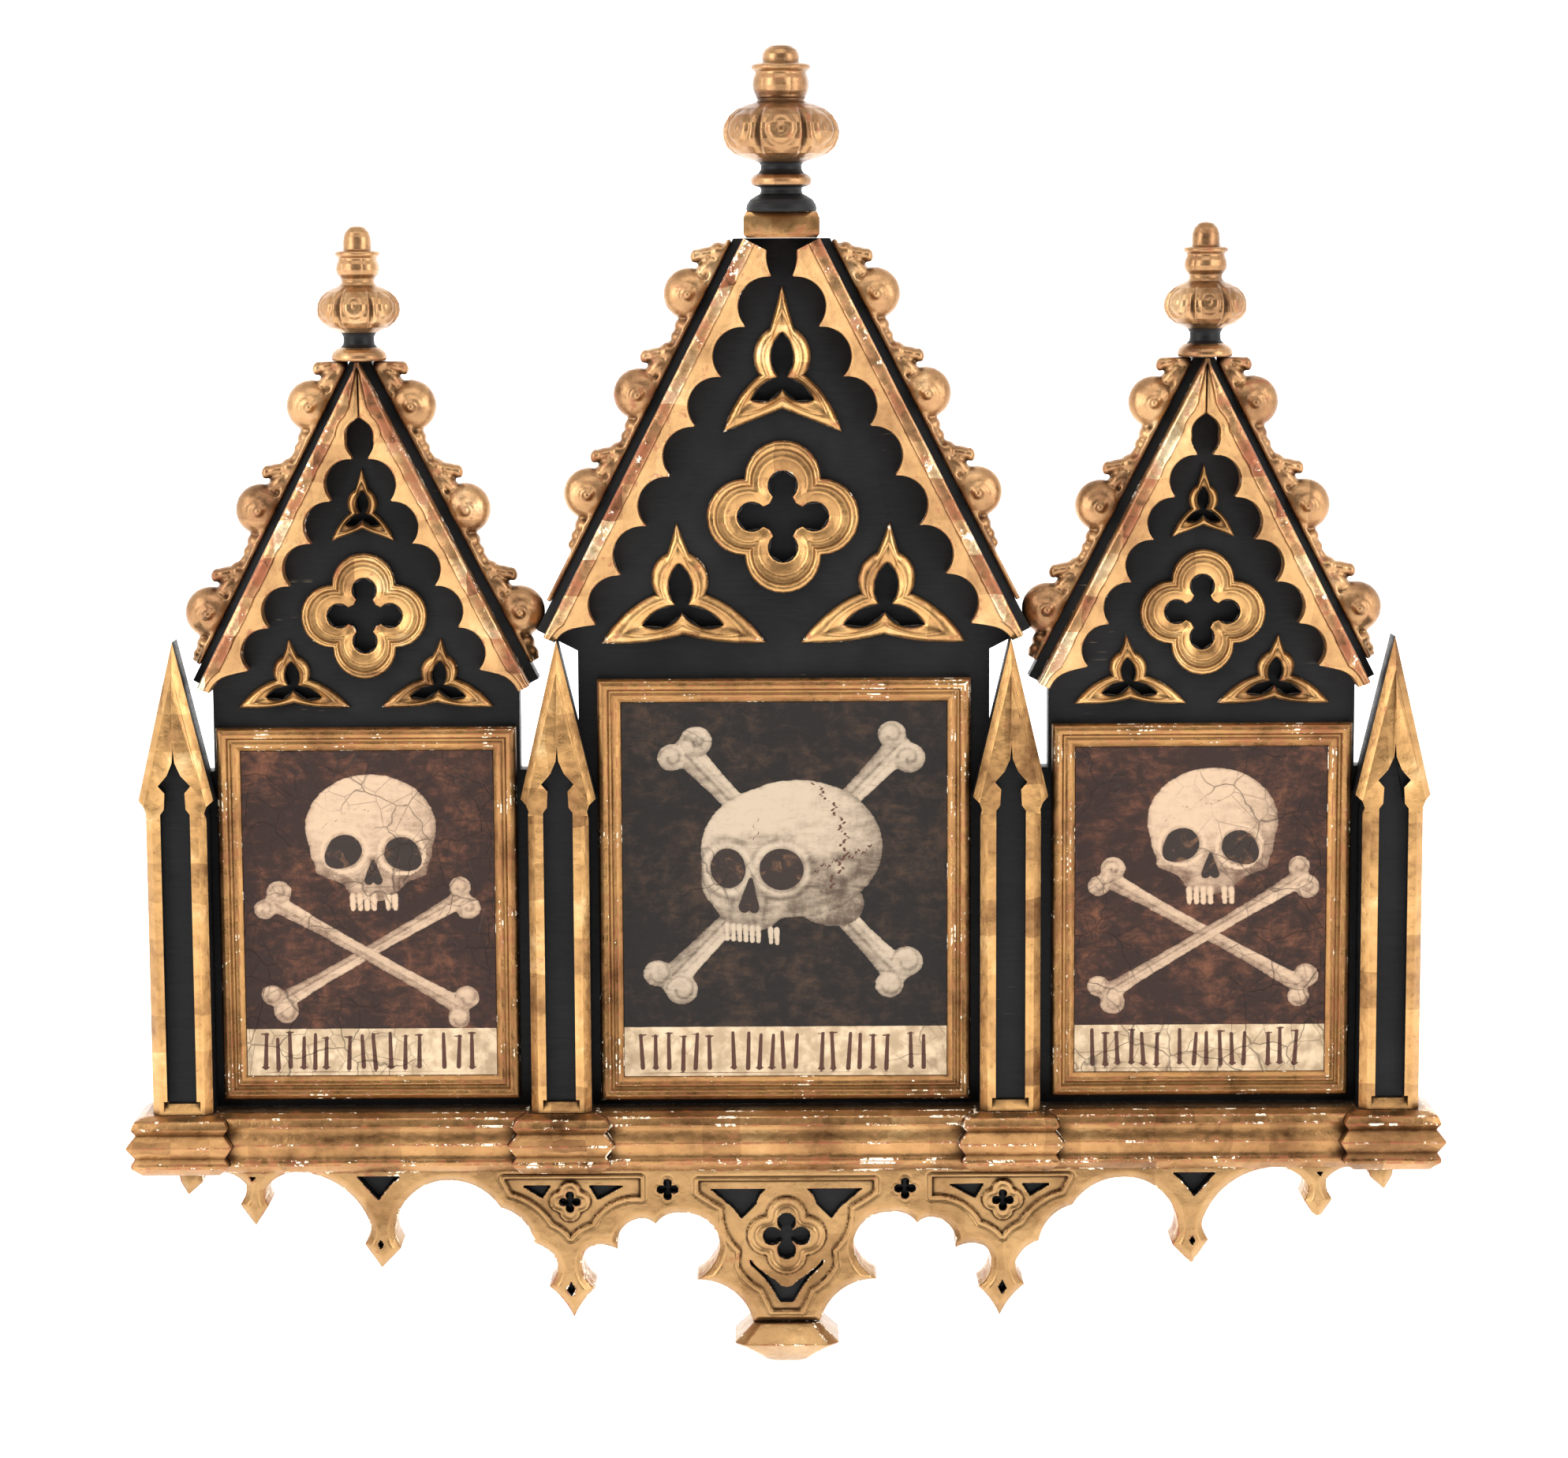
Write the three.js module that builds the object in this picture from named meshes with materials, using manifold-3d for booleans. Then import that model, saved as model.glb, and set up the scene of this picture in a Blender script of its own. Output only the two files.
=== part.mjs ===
// A hanging Gothic triptych altarpiece: three gabled, ebonised boards with gilded mouldings, crockets
// and finials, three framed painted panels between four buttresses, and a pierced apron below.
// Millimetres, +Z up. The front faces -Y and every back lies in the wall plane, y = 0.
// Heights are drawn from the ledge, the top of the base moulding, and the origin is where it hangs.
import * as THREE from 'three';
import { mergeVertices } from 'three/addons/utils/BufferGeometryUtils.js';
import Module from 'manifold-3d';

const wasm = await Module();
wasm.setup();

// Sizes shared by several pieces. "Reach" is a distance out from the wall.
const HANG_HEIGHT = 345;
const CLEARANCE = 0.3;
const BOARD_THICKNESS = 20;
const FRONT_REACH = 44;
const PIER_REACH = 51;

// The boards stand side by side on the ledge and meet behind the inner buttresses. The gaps are
// measured from a board's edge to the middle of the buttress beside it.
const CENTRE_BOARD_HALF = 157;
const WING_BOARD_HALF = 117;
const CENTRE_GAP = 15;
const WING_INNER_GAP = 30;
const WING_OUTER_GAP = 26.5;
const INNER_PIER_X = CENTRE_BOARD_HALF + CENTRE_GAP;
const WING_X = INNER_PIER_X + WING_INNER_GAP + WING_BOARD_HALF;
const OUTER_PIER_X = WING_X + WING_BOARD_HALF + WING_OUTER_GAP;
const STEP_HEIGHT = 262;
const PIER_HALF = 23;

// A gable is laid out along the outer line of its gilded rake, from the top corner down to the eave,
// which overhangs the board. The last cusp stands a share of the cusps' pitch above the eave, and the
// eye between the first cusps ends below the top.
const RAKE_SLOPE = 1.95;
const ROOF_EDGE = 7;
const FILLET_WIDTH = 9.5;
const FILLET_STEP = 2;
const RAKE_FALL = 10;
const CENTRE_GABLE = {
  top: 665, topHalf: 28.5, boardHalf: CENTRE_BOARD_HALF, overhang: 24.8,
  cuspStart: 16.4, cuspCount: 8, lastCusp: 0.61, cuspInset: 32, hollow: 15,
  eye: { half: 8, below: 0, bow: 0.12 },
};
const WING_GABLE = {
  top: 574, topHalf: 0, boardHalf: WING_BOARD_HALF, overhang: 8.7,
  cuspStart: 67.5, cuspCount: 6, lastCusp: 0.778, cuspInset: 29, hollow: 13,
  eye: { half: 0, below: 46, bow: 0.3 },
};
const RAKE_RUN = Math.hypot(1, RAKE_SLOPE);
const rakeSpan = ({ topHalf, boardHalf, overhang }) => boardHalf + overhang - topHalf;
const rakeLength = (gable) => rakeSpan(gable) * RAKE_RUN;
const eaveHeight = (gable) => gable.top - rakeSpan(gable) * RAKE_SLOPE;

// Picture frames and the panels that they hold
const FRAME_WIDTH = 18;
const FRAME_RISE = 12;
const PANEL_RISE = 5;
const CENTRE_PICTURE = { half: CENTRE_BOARD_HALF - 14.5, bottom: 5, top: 332 };
const WING_PICTURE = { half: WING_BOARD_HALF - 2.5, bottom: 7, top: 296 };

// Blind tracery: sunk openings with raised, gilded rims. The rose hangs below the gable's top. One
// trefoil fits between it and the top, and one stands on each side, over the picture.
const POCKET_DEPTH = 12;
const RIM_RISE = 8;
const CENTRE_TRACERY = {
  rose: { below: 210, half: 58 },
  upper: { half: 45, overRose: 6, below: 35 },
  side: { x: 76, half: 63, height: 92, lean: 5, overPicture: 27 },
};
const WING_TRACERY = {
  rose: { below: 193, half: 48 },
  upper: { half: 24, overRose: 9, below: 80 },
  side: { x: 54.5, half: 43, height: 53, lean: 3.5, overPicture: 15 },
};

// Buttresses: a shaft with a channel, and a spire cap with a ridge and a spade-shaped niche
const PIER_CHAMFER = 5.5;
const CAP_HALF = 28.5;
const CAP_SHOULDER = 243;
const CAP_UNDER_EAVE = 2;
const CAP_APEX = eaveHeight(CENTRE_GABLE) - CAP_UNDER_EAVE;
const CAP_COVE = 15;
const CAP_RIDGE = 3.5;
const RIDGE_HALF = 1.5;
const RIDGE_START = 25;
const RIDGE_END = 38.5;
const RIDGE_FOOT = 22;
const CHANNEL_HALF = 11.25;
const CHANNEL_DEPTH = 9;
const CHANNEL_SILL = 8;
const NICHE_NECK = 242;
const NICHE_HALF = 12.4;
const NICHE_SWELL = 13;
const NICHE_TIP = 284;
const NECK_HALF = 8;
const NECK_COVE = 9;

// Base moulding: [projection, depth below the ledge]
const BASE_PROFILE = [
  [0, 0], [7.5, 3], [10.2, 9], [6.6, 14], [13.8, 22.5], [7.5, 32], [10.2, 36], [10.2, 39], [2.7, 46],
];
const BASE_HEIGHT = BASE_PROFILE.at(-1)[1];
const BLOCK_HALF = 27;
const BLOCK_REACH = 53;
const END_BLOCK_X = OUTER_PIER_X + 1.5;

// Apron
const APRON_CHAMFER = 5;
const APRON_END = END_BLOCK_X + 14;
const PANEL_SINK = 3;
const APRON_POCKET = 9;

// Corbel under the apron: [half width, projection, depth below the apron's top]. Its front corners are
// cut off by a share of the half width.
const CORBEL = [
  [25, 0, 121.7], [40.6, 12, 135.7], [37, 9.5, 138.2], [27, 3, 144.2],
  [25, 2, 145.2], [17, -5, 151.7], [10, -11, 154.7],
];
const CORBEL_CHAMFER = 0.2;

// Block under the centre finial: [half width, reach, height above the gable]
const PLINTH = [[26.5, 42, CLEARANCE], [28.5, 45, 3], [28.5, 45, 15], [26.5, 43, 19.5]];

// Finials: [radius, height above the base], turned round an axis that stands off the wall
const CENTRE_FINIAL = {
  base: CENTRE_GABLE.top + PLINTH.at(-1)[2] + CLEARANCE, axis: 30,
  lobeFrom: 37, lobeTo: 81, lobeDepth: 2.6, lobes: 7,
  profile: [
    [0, 0], [26.5, 0], [25.5, 5], [20.5, 10.5], [15.5, 14], [15.5, 17.5], [22, 19.5], [23, 22.5], [21, 27],
    [15.5, 31], [16, 36], [24, 38.5], [38, 45], [44, 56], [43, 64], [36, 75], [22, 80.5], [17.5, 82.5],
    [21.5, 90], [21, 99], [19.5, 103], [22.5, 106], [21, 109], [13.5, 110], [14, 115], [9.5, 121], [0, 123],
  ],
};
const WING_FINIAL = {
  base: WING_GABLE.top + 1, axis: 24, lobeFrom: 22.5, lobeTo: 56, lobeDepth: 2, lobes: 7,
  profile: [
    [0, 0], [20.5, 0], [21, 3], [17.5, 8.5], [12, 11], [11.5, 17], [14.5, 21.5], [24.5, 26], [31.5, 37],
    [30.5, 44], [24, 52], [13.5, 56], [12, 60], [16.5, 66], [16.5, 71], [14.5, 76.5], [17, 80], [10.5, 82],
    [10.5, 92], [6.5, 98.5], [0, 100.5],
  ],
};
const FINIAL_SIDES = 10;

// Crockets: a backing strip with leaves, bulbs and beads, each as
// [along the rake, out from the strip, half length, half breadth, half depth, tilt in degrees, sides]
const CROCKET_MID = 14;
const STRIP_DEPTH = 24;
const STRIP_WIDTH = 4;
const CROCKET_UNIT = [
  [0, 6.5, 17, 16, 13, 0, 7],
  [-26, 6.5, 17, 5.5, 9, 8, 5],
  [25, 3, 8, 6, 7, 0, 4],
];
const CROCKET_EYE = [-1, 9, 4.5, 4.5, 5, 0, 3];
const EYE_REACH = 26;

// Rows of crockets: from the top to the strip and the first bulb, and from the last ones to the eave
const CENTRE_CROCKETS = { count: 3, from: 6, first: 56, last: 111, end: 24 };
const WING_CROCKETS = { count: 3, from: 8, first: 47, last: 52.5, end: 13.5 };

const gold = { color: 0xb88a45, roughness: 0.38, metalness: 0.85 };
const wornGold = { color: 0xb98d62, roughness: 0.5, metalness: 0.7 };
const ebonised = { color: 0x232121, roughness: 0.45, metalness: 0 };
const oilPaint = { color: 0x3a2620, roughness: 0.55, metalness: 0 };

const HALF_TURN = Math.PI;
const CUT_MARGIN = 1;

// A closed mesh as a solid that can be joined and cut
function solid(geometry) {
  const bare = geometry.clone();
  bare.deleteAttribute('normal');
  bare.deleteAttribute('uv');
  const merged = mergeVertices(bare, 1e-4);
  return new wasm.Manifold(new wasm.Mesh({
    numProp: 3,
    vertProperties: new Float32Array(merged.attributes.position.array),
    triVerts: new Uint32Array(merged.index.array),
  }));
}

function geometryOf(body) {
  const mesh = body.getMesh();
  const geometry = new THREE.BufferGeometry();
  geometry.setAttribute('position', new THREE.BufferAttribute(new Float32Array(mesh.vertProperties), 3));
  geometry.setIndex(new THREE.BufferAttribute(new Uint32Array(mesh.triVerts), 1));
  geometry.computeVertexNormals();
  return geometry;
}

// Outline points from legs [x, z, bow, steps]. Bow is the arc's rise as a share of its chord,
// positive to the left of the direction of travel.
function outline(start, ...legs) {
  const points = [new THREE.Vector2(start[0], start[1])];
  for (const [x, z, bow = 0, steps = 1] of legs) {
    const from = points.at(-1).clone();
    const to = new THREE.Vector2(x, z);
    const chord = to.clone().sub(from);
    const left = new THREE.Vector2(-chord.y, chord.x);
    for (let step = 1; step <= steps; step += 1) {
      const share = step / steps;
      const point = from.clone().addScaledVector(chord, share);
      if (bow !== 0) {
        const radius = (0.25 + bow * bow) / (2 * Math.abs(bow));
        const across = share - 0.5;
        const rise = Math.sqrt(radius * radius - across * across) - (radius - Math.abs(bow));
        point.addScaledVector(left, Math.sign(bow) * rise);
      }
      points.push(point);
    }
  }
  if (points.at(-1).distanceTo(points[0]) < 1e-6) points.pop();
  return points;
}

const mirrored = (points) => points.map((point) => new THREE.Vector2(-point.x, point.y)).reverse();
const moved = (points, x, z) => points.map((point) => new THREE.Vector2(point.x + x, point.y + z));

// A flat piece cut to an outline, from one reach to another
function slab(points, fromReach, toReach) {
  const geometry = new THREE.ExtrudeGeometry(new THREE.Shape(points), {
    depth: toReach - fromReach, bevelEnabled: false,
  });
  geometry.rotateX(HALF_TURN / 2);
  geometry.translate(0, -fromReach, 0);
  return geometry;
}

// Skin over rows of points, each row a closed ring. A looped skin joins its last row to its first;
// otherwise both ends are capped, each on its own flat outline.
function skin(rows, { looped = false, flatAxes = ['x', 'z'] } = {}) {
  const count = rows[0].length;
  const positions = rows.flat().flatMap((point) => [point.x, point.y, point.z]);
  const index = [];
  const lastRow = looped ? rows.length : rows.length - 1;
  for (let row = 0; row < lastRow; row += 1) {
    const next = (row + 1) % rows.length;
    for (let i = 0; i < count; i += 1) {
      const j = (i + 1) % count;
      index.push(row * count + i, row * count + j, next * count + j);
      index.push(row * count + i, next * count + j, next * count + i);
    }
  }
  if (!looped) {
    const [a, b] = flatAxes;
    const cap = (row) => {
      const flat = rows[row].map((point) => new THREE.Vector2(point[a], point[b]));
      const turned = THREE.ShapeUtils.isClockWise(flat);
      const faces = THREE.ShapeUtils.triangulateShape(turned ? [...flat].reverse() : flat, []);
      const place = (i) => row * count + (turned ? count - 1 - i : i);
      return { turned, faces: faces.map((face) => face.map(place)) };
    };
    const first = cap(0);
    const last = cap(rows.length - 1);
    for (const [i, j, k] of first.faces) index.push(...(first.turned ? [i, j, k] : [k, j, i]));
    for (const [i, j, k] of last.faces) index.push(...(last.turned ? [k, j, i] : [i, j, k]));
  }
  const geometry = new THREE.BufferGeometry();
  geometry.setAttribute('position', new THREE.Float32BufferAttribute(positions, 3));
  geometry.setIndex(index);
  return outward(geometry);
}

// Faces turned to point out, judged by the sign of the enclosed volume
function outward(geometry) {
  const place = geometry.attributes.position;
  const index = geometry.index.array;
  const [a, b, c] = [new THREE.Vector3(), new THREE.Vector3(), new THREE.Vector3()];
  let volume = 0;
  for (let i = 0; i < index.length; i += 3) {
    a.fromBufferAttribute(place, index[i]);
    b.fromBufferAttribute(place, index[i + 1]);
    c.fromBufferAttribute(place, index[i + 2]);
    volume += a.dot(b.cross(c));
  }
  if (volume < 0) {
    for (let i = 0; i < index.length; i += 3) [index[i], index[i + 1]] = [index[i + 1], index[i]];
  }
  geometry.computeVertexNormals();
  return geometry;
}

const lift = (points, reach) => points.map((point) => new THREE.Vector3(point.x, -reach, point.y));

// Triangular prism that bevels a front edge. Solid lies on the left of the way from start to end.
function bevelCut(start, end, width, reach) {
  const from = new THREE.Vector2(...start);
  const to = new THREE.Vector2(...end);
  const along = to.clone().sub(from).normalize();
  const inward = new THREE.Vector2(-along.y, along.x);
  const spare = width / 2;
  const corner = (place, inset, depth) => {
    const point = place.clone().addScaledVector(inward, inset);
    return new THREE.Vector3(point.x, -depth, point.y);
  };
  const section = (place) => [
    corner(place, width + spare, reach + spare),
    corner(place, -spare, reach - width - spare),
    corner(place, -spare, reach + spare),
  ];
  const ends = [from.clone().addScaledVector(along, -spare), to.clone().addScaledVector(along, spare)];
  const rows = ends.map(section);
  const geometry = new THREE.BufferGeometry();
  const corners = [...rows[0], ...rows[1]].flatMap((point) => [point.x, point.y, point.z]);
  geometry.setAttribute('position', new THREE.Float32BufferAttribute(corners, 3));
  geometry.setIndex([0, 1, 2, 5, 4, 3, 0, 3, 4, 0, 4, 1, 1, 4, 5, 1, 5, 2, 2, 5, 3, 2, 3, 0]);
  return solid(outward(geometry));
}

// Places in a gable, from the distance down the rake and the distance in from its outer line
function gableFrame(gable) {
  const down = new THREE.Vector2(1 / RAKE_RUN, -RAKE_SLOPE / RAKE_RUN);
  const inward = new THREE.Vector2(-RAKE_SLOPE / RAKE_RUN, -1 / RAKE_RUN);
  return (along, inset) => [
    gable.topHalf + down.x * along + inward.x * inset,
    gable.top + down.y * along + inward.y * inset,
  ];
}

// Four-lobed outline. The notch is where neighbouring lobes meet, measured along both axes.
function quatrefoil(lobeCentre, lobeRadius, notch, steps = 4) {
  const sweep = Math.atan2(notch, notch - lobeCentre) * 0.9;
  const points = [];
  for (let lobe = 0; lobe < 4; lobe += 1) {
    const turn = lobe * HALF_TURN / 2;
    const spin = (x, z) => new THREE.Vector2(x, z).rotateAround(new THREE.Vector2(), turn);
    for (let step = 0; step <= steps; step += 1) {
      const angle = sweep * (2 * step / steps - 1);
      points.push(spin(lobeCentre + lobeRadius * Math.cos(angle), lobeRadius * Math.sin(angle)));
    }
    points.push(spin(notch, notch));
  }
  return points;
}

// Shares of the rose's half width at its outside, and at its sight edge where the sunk part begins
const ROSE_OUTSIDE = { centre: 0.5, radius: 0.5, notch: 0.5 };
const ROSE_SIGHT = { centre: 0.407, radius: 0.197, notch: 0.172 };

// Moulded quatrefoil rim: [share of the way from the outside to the sight edge, rise]
const ROSE_PROFILE = [
  [0, CLEARANCE], [0, 5], [0.15, RIM_RISE], [0.3, RIM_RISE - 1], [0.45, 4.5], [1, CLEARANCE],
];

// Ring of the rose at a share of the way from its outside to its sight edge
function roseRing(half, share) {
  const mix = (name) => half * THREE.MathUtils.lerp(ROSE_OUTSIDE[name], ROSE_SIGHT[name], share);
  return quatrefoil(mix('centre'), mix('radius'), mix('notch'));
}

function roseRim({ half, height }) {
  const rows = ROSE_PROFILE.map(([share, rise]) => (
    lift(moved(roseRing(half, share), 0, height), BOARD_THICKNESS + rise)
  ));
  return skin(rows, { looped: true });
}

// Three pointed lobes: half of each outline from its top tip down to the middle of the base, as legs
// [x, z, bow, steps] in shares of half width and height. The rim has as many points as its opening.
const ARCHED_TREFOIL = {
  rim: [[0, 1], [0.2, 0.71], [0.39, 0.39, 0.22, 3], [1, 0, 0.08, 2], [0, 0.16, 0, 2]],
  opening: [[0, 0.68], [0.075, 0.375, 0.2, 4], [0.53, 0.22, 0.12, 2], [0, 0.295, 0.2, 2]],
};
const STRAIGHT_TREFOIL = {
  rim: [[0, 1], [0.13, 0.75], [0.305, 0.41, 0.22, 3], [1, 0, 0.08, 2], [0, 0.065, 0.04, 2]],
  opening: [[0, 0.66], [0.075, 0.315, 0.2, 4], [0.49, 0.147, 0.12, 2], [0, 0.248, 0.2, 2]],
};

// Places of a gable's rose and trefoils
function layOut(gable, { rose, upper, side }, picture) {
  const height = gable.top - rose.below;
  const base = height + rose.half + upper.overRose;
  const lower = { half: side.half, height: side.height, base: picture.top + side.overPicture };
  return {
    rose: { half: rose.half, height },
    trefoils: [
      { ...upper, name: 'top', x: 0, lean: 0, base, height: gable.top - upper.below - base, arched: true },
      { ...lower, name: 'left', x: -side.x, lean: -side.lean, arched: false },
      { ...lower, name: 'right', x: side.x, lean: side.lean, arched: false },
    ],
  };
}

function trefoil(shape, edge) {
  const legs = (shape.arched ? ARCHED_TREFOIL : STRAIGHT_TREFOIL)[edge];
  const half = outline(...legs.map(([x, z, ...arc]) => [x * shape.half, z * shape.height, ...arc]));
  const whole = [...half, ...mirrored(half).slice(1, -1)];
  const leaned = whole.map(({ x, y }) => new THREE.Vector2(x + shape.lean * y / shape.height, y));
  return moved(leaned, shape.x, shape.base);
}

const TREFOIL_PROFILE = [[0, CLEARANCE], [0.1, 4], [0.45, 6.5], [1, CLEARANCE]];

function trefoilRim(shape) {
  const outside = trefoil(shape, 'rim');
  const inside = trefoil(shape, 'opening');
  const rows = TREFOIL_PROFILE.map(([share, rise]) => {
    const ring = outside.map((point, i) => point.clone().lerp(inside[i], share));
    return lift(ring, BOARD_THICKNESS + rise);
  });
  return skin(rows, { looped: true });
}

// A gabled board with its tracery sunk into the face. The feet are its half widths below the step.
function board(gable, { rose, trefoils }, footLeft, footRight) {
  const at = gableFrame(gable);
  const half = (foot) => outline(
    [foot, CLEARANCE], [foot, STEP_HEIGHT], [gable.boardHalf, STEP_HEIGHT], eaveAt(gable, gable.boardHalf),
    at(rakeLength(gable), -ROOF_EDGE), roofAt(gable, gable.top - CLEARANCE),
  );
  let body = solid(slab([...half(footRight), ...mirrored(half(footLeft))], 0, BOARD_THICKNESS));
  const sunk = [
    moved(roseRing(rose.half, 1), 0, rose.height),
    ...trefoils.map((shape) => trefoil(shape, 'opening')),
  ];
  for (const opening of sunk) {
    body = body.subtract(solid(slab(opening, BOARD_THICKNESS - POCKET_DEPTH, BOARD_THICKNESS + CUT_MARGIN)));
  }
  return geometryOf(body);
}

// Where the cut end of the eave crosses a given half width
function eaveAt(gable, halfWidth) {
  const [x, z] = gableFrame(gable)(rakeLength(gable), 0);
  return [halfWidth, z - (x - halfWidth) / RAKE_SLOPE];
}

// Where the roof's outer edge crosses a given height
function roofAt(gable, height) {
  const [x, z] = gableFrame(gable)(0, -ROOF_EDGE);
  return [x + (z - height) / RAKE_SLOPE, height];
}

// Gilded raking moulding with a scalloped inner edge and a face that falls away inwards
function rake(gable) {
  const at = gableFrame(gable);
  const length = rakeLength(gable);
  const pitch = (length - gable.cuspStart) / (gable.cuspCount - 1 + gable.lastCusp);
  const cusps = [];
  for (let i = gable.cuspCount - 1; i >= 0; i -= 1) {
    cusps.push([...at(gable.cuspStart + i * pitch, gable.cuspInset), -gable.hollow / pitch, 5]);
  }
  const { eye } = gable;
  const eyeX = Math.max(eye.half, CLEARANCE / 2);
  const points = outline(
    [Math.max(gable.topHalf, CLEARANCE / 2), gable.top], at(length, 0), at(length, FILLET_WIDTH),
    ...cusps, [eyeX, gable.top - eye.below, -eye.bow, 4], [eyeX, gable.top],
  ).reverse();
  const trimmed = points.map((point) => new THREE.Vector2(Math.max(point.x, CLEARANCE / 2), point.y));
  const back = BOARD_THICKNESS + CLEARANCE;
  const body = solid(slab(trimmed, back, FRONT_REACH));
  const deepest = gable.cuspInset + CUT_MARGIN;
  const corner = (along, inset, reach) => {
    const [x, z] = at(along, inset);
    return new THREE.Vector3(x, -reach, z);
  };
  const section = (along) => [
    corner(along, FILLET_WIDTH, FRONT_REACH + CUT_MARGIN),
    corner(along, FILLET_WIDTH, FRONT_REACH - FILLET_STEP),
    corner(along, deepest, FRONT_REACH - RAKE_FALL),
    corner(along, deepest, FRONT_REACH + CUT_MARGIN),
  ];
  const fall = skin([section(-pitch), section(length + pitch)], { flatAxes: ['x', 'y'] });
  return body.subtract(solid(fall));
}

// Mitred picture frame: [distance in from the outside, rise above the board]
const FRAME_PROFILE = [
  [0, CLEARANCE], [0, 8], [1.5, 10.8], [4.5, FRAME_RISE], [7.5, 10.8], [9, 8.3], [10.5, 7.8], [12, 8.8],
  [14.5, 7.8], [FRAME_WIDTH, 5.2], [FRAME_WIDTH, CLEARANCE],
];

function frame({ half, bottom, top }) {
  const rows = FRAME_PROFILE.map(([inset, rise]) => lift([
    new THREE.Vector2(half - inset, bottom + inset),
    new THREE.Vector2(half - inset, top - inset),
    new THREE.Vector2(-half + inset, top - inset),
    new THREE.Vector2(-half + inset, bottom + inset),
  ], BOARD_THICKNESS + rise));
  return skin(rows, { looped: true });
}

function painting({ half, bottom, top }) {
  const inset = FRAME_WIDTH + CLEARANCE;
  const points = outline(
    [-half + inset, bottom + inset], [half - inset, bottom + inset],
    [half - inset, top - inset], [-half + inset, top - inset],
  );
  return slab(points, BOARD_THICKNESS + CLEARANCE, BOARD_THICKNESS + PANEL_RISE);
}

function buttress() {
  const foot = CLEARANCE;
  const half = outline(
    [PIER_HALF, foot], [PIER_HALF, CAP_SHOULDER - CAP_COVE], [CAP_HALF, CAP_SHOULDER, 0.2, 3], [0, CAP_APEX],
  );
  const front = [...half, ...mirrored(half).slice(1)];
  let body = solid(slab(front, BOARD_THICKNESS + CLEARANCE, PIER_REACH));
  const ridgeBase = [
    new THREE.Vector2(CAP_HALF - PIER_CHAMFER, CAP_SHOULDER), new THREE.Vector2(0, CAP_APEX - RIDGE_FOOT),
    new THREE.Vector2(PIER_CHAMFER - CAP_HALF, CAP_SHOULDER),
  ];
  const ridgeTop = [
    new THREE.Vector2(RIDGE_HALF, CAP_SHOULDER + RIDGE_START), new THREE.Vector2(0, CAP_APEX - RIDGE_END),
    new THREE.Vector2(-RIDGE_HALF, CAP_SHOULDER + RIDGE_START),
  ];
  const ridge = skin([lift(ridgeBase, PIER_REACH - CUT_MARGIN), lift(ridgeTop, PIER_REACH + CAP_RIDGE)]);
  body = body.add(solid(ridge));
  const bevelled = (start, end) => body.subtract(bevelCut(start, end, PIER_CHAMFER, PIER_REACH));
  const shaftTop = CAP_SHOULDER - CAP_COVE;
  body = bevelled([CAP_HALF, CAP_SHOULDER], [0, CAP_APEX]);
  body = bevelled([0, CAP_APEX], [-CAP_HALF, CAP_SHOULDER]);
  body = bevelled([PIER_HALF, foot], [PIER_HALF, shaftTop]);
  body = bevelled([-PIER_HALF, shaftTop], [-PIER_HALF, foot]);
  const channel = outline(
    [CHANNEL_HALF, CHANNEL_SILL], [CHANNEL_HALF, NICHE_NECK - NECK_COVE], [NECK_HALF, NICHE_NECK, 0.15, 2],
    [NICHE_HALF, NICHE_NECK + NICHE_SWELL, 0.2, 2], [0, NICHE_TIP, 0.12, 3],
  );
  const opening = [...channel, ...mirrored(channel).slice(1)];
  body = body.subtract(solid(slab(opening, PIER_REACH - CHANNEL_DEPTH, PIER_REACH + CAP_RIDGE + CUT_MARGIN)));
  body = bevelled([CHANNEL_HALF, CHANNEL_SILL], [-CHANNEL_HALF, CHANNEL_SILL]);
  return body;
}

// Block that breaks forward in the base moulding, its moulding returned round three sides
function baseBlock(grow = 0) {
  const rows = BASE_PROFILE.map(([projection, depth]) => {
    const side = BLOCK_HALF + projection + grow;
    const reach = BLOCK_REACH + projection + grow;
    return [[side, grow], [-side, grow], [-side, -reach], [side, -reach]]
      .map(([x, y]) => new THREE.Vector3(x, y, -depth));
  });
  return skin(rows, { flatAxes: ['x', 'y'] });
}

// Straight run of the base moulding between two blocks, cut to fit against them
function baseRun(from, to) {
  const section = (x) => [
    new THREE.Vector3(x, 0, 0),
    ...BASE_PROFILE.map(([projection, depth]) => new THREE.Vector3(x, -(FRONT_REACH + projection), -depth)),
    new THREE.Vector3(x, 0, -BASE_HEIGHT),
  ];
  let body = solid(skin([section(from), section(to)], { flatAxes: ['y', 'z'] }));
  for (const x of [from, to]) {
    body = body.subtract(solid(baseBlock(CLEARANCE).translate(x, 0, 0)));
  }
  return body;
}

// The apron's drawing gives depths below its top edge, for a right half that is APRON_DRAWN wide.
const APRON_DRAWN = 478;
const APRON_STRETCH = APRON_END / APRON_DRAWN;
const APRON_TOP = -(BASE_HEIGHT + CLEARANCE);
const APRON_RAIL = 1.2;
const hung = (legs) => legs.map(([x, depth, ...arc]) => [x * APRON_STRETCH, APRON_TOP - depth, ...arc]);

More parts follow.
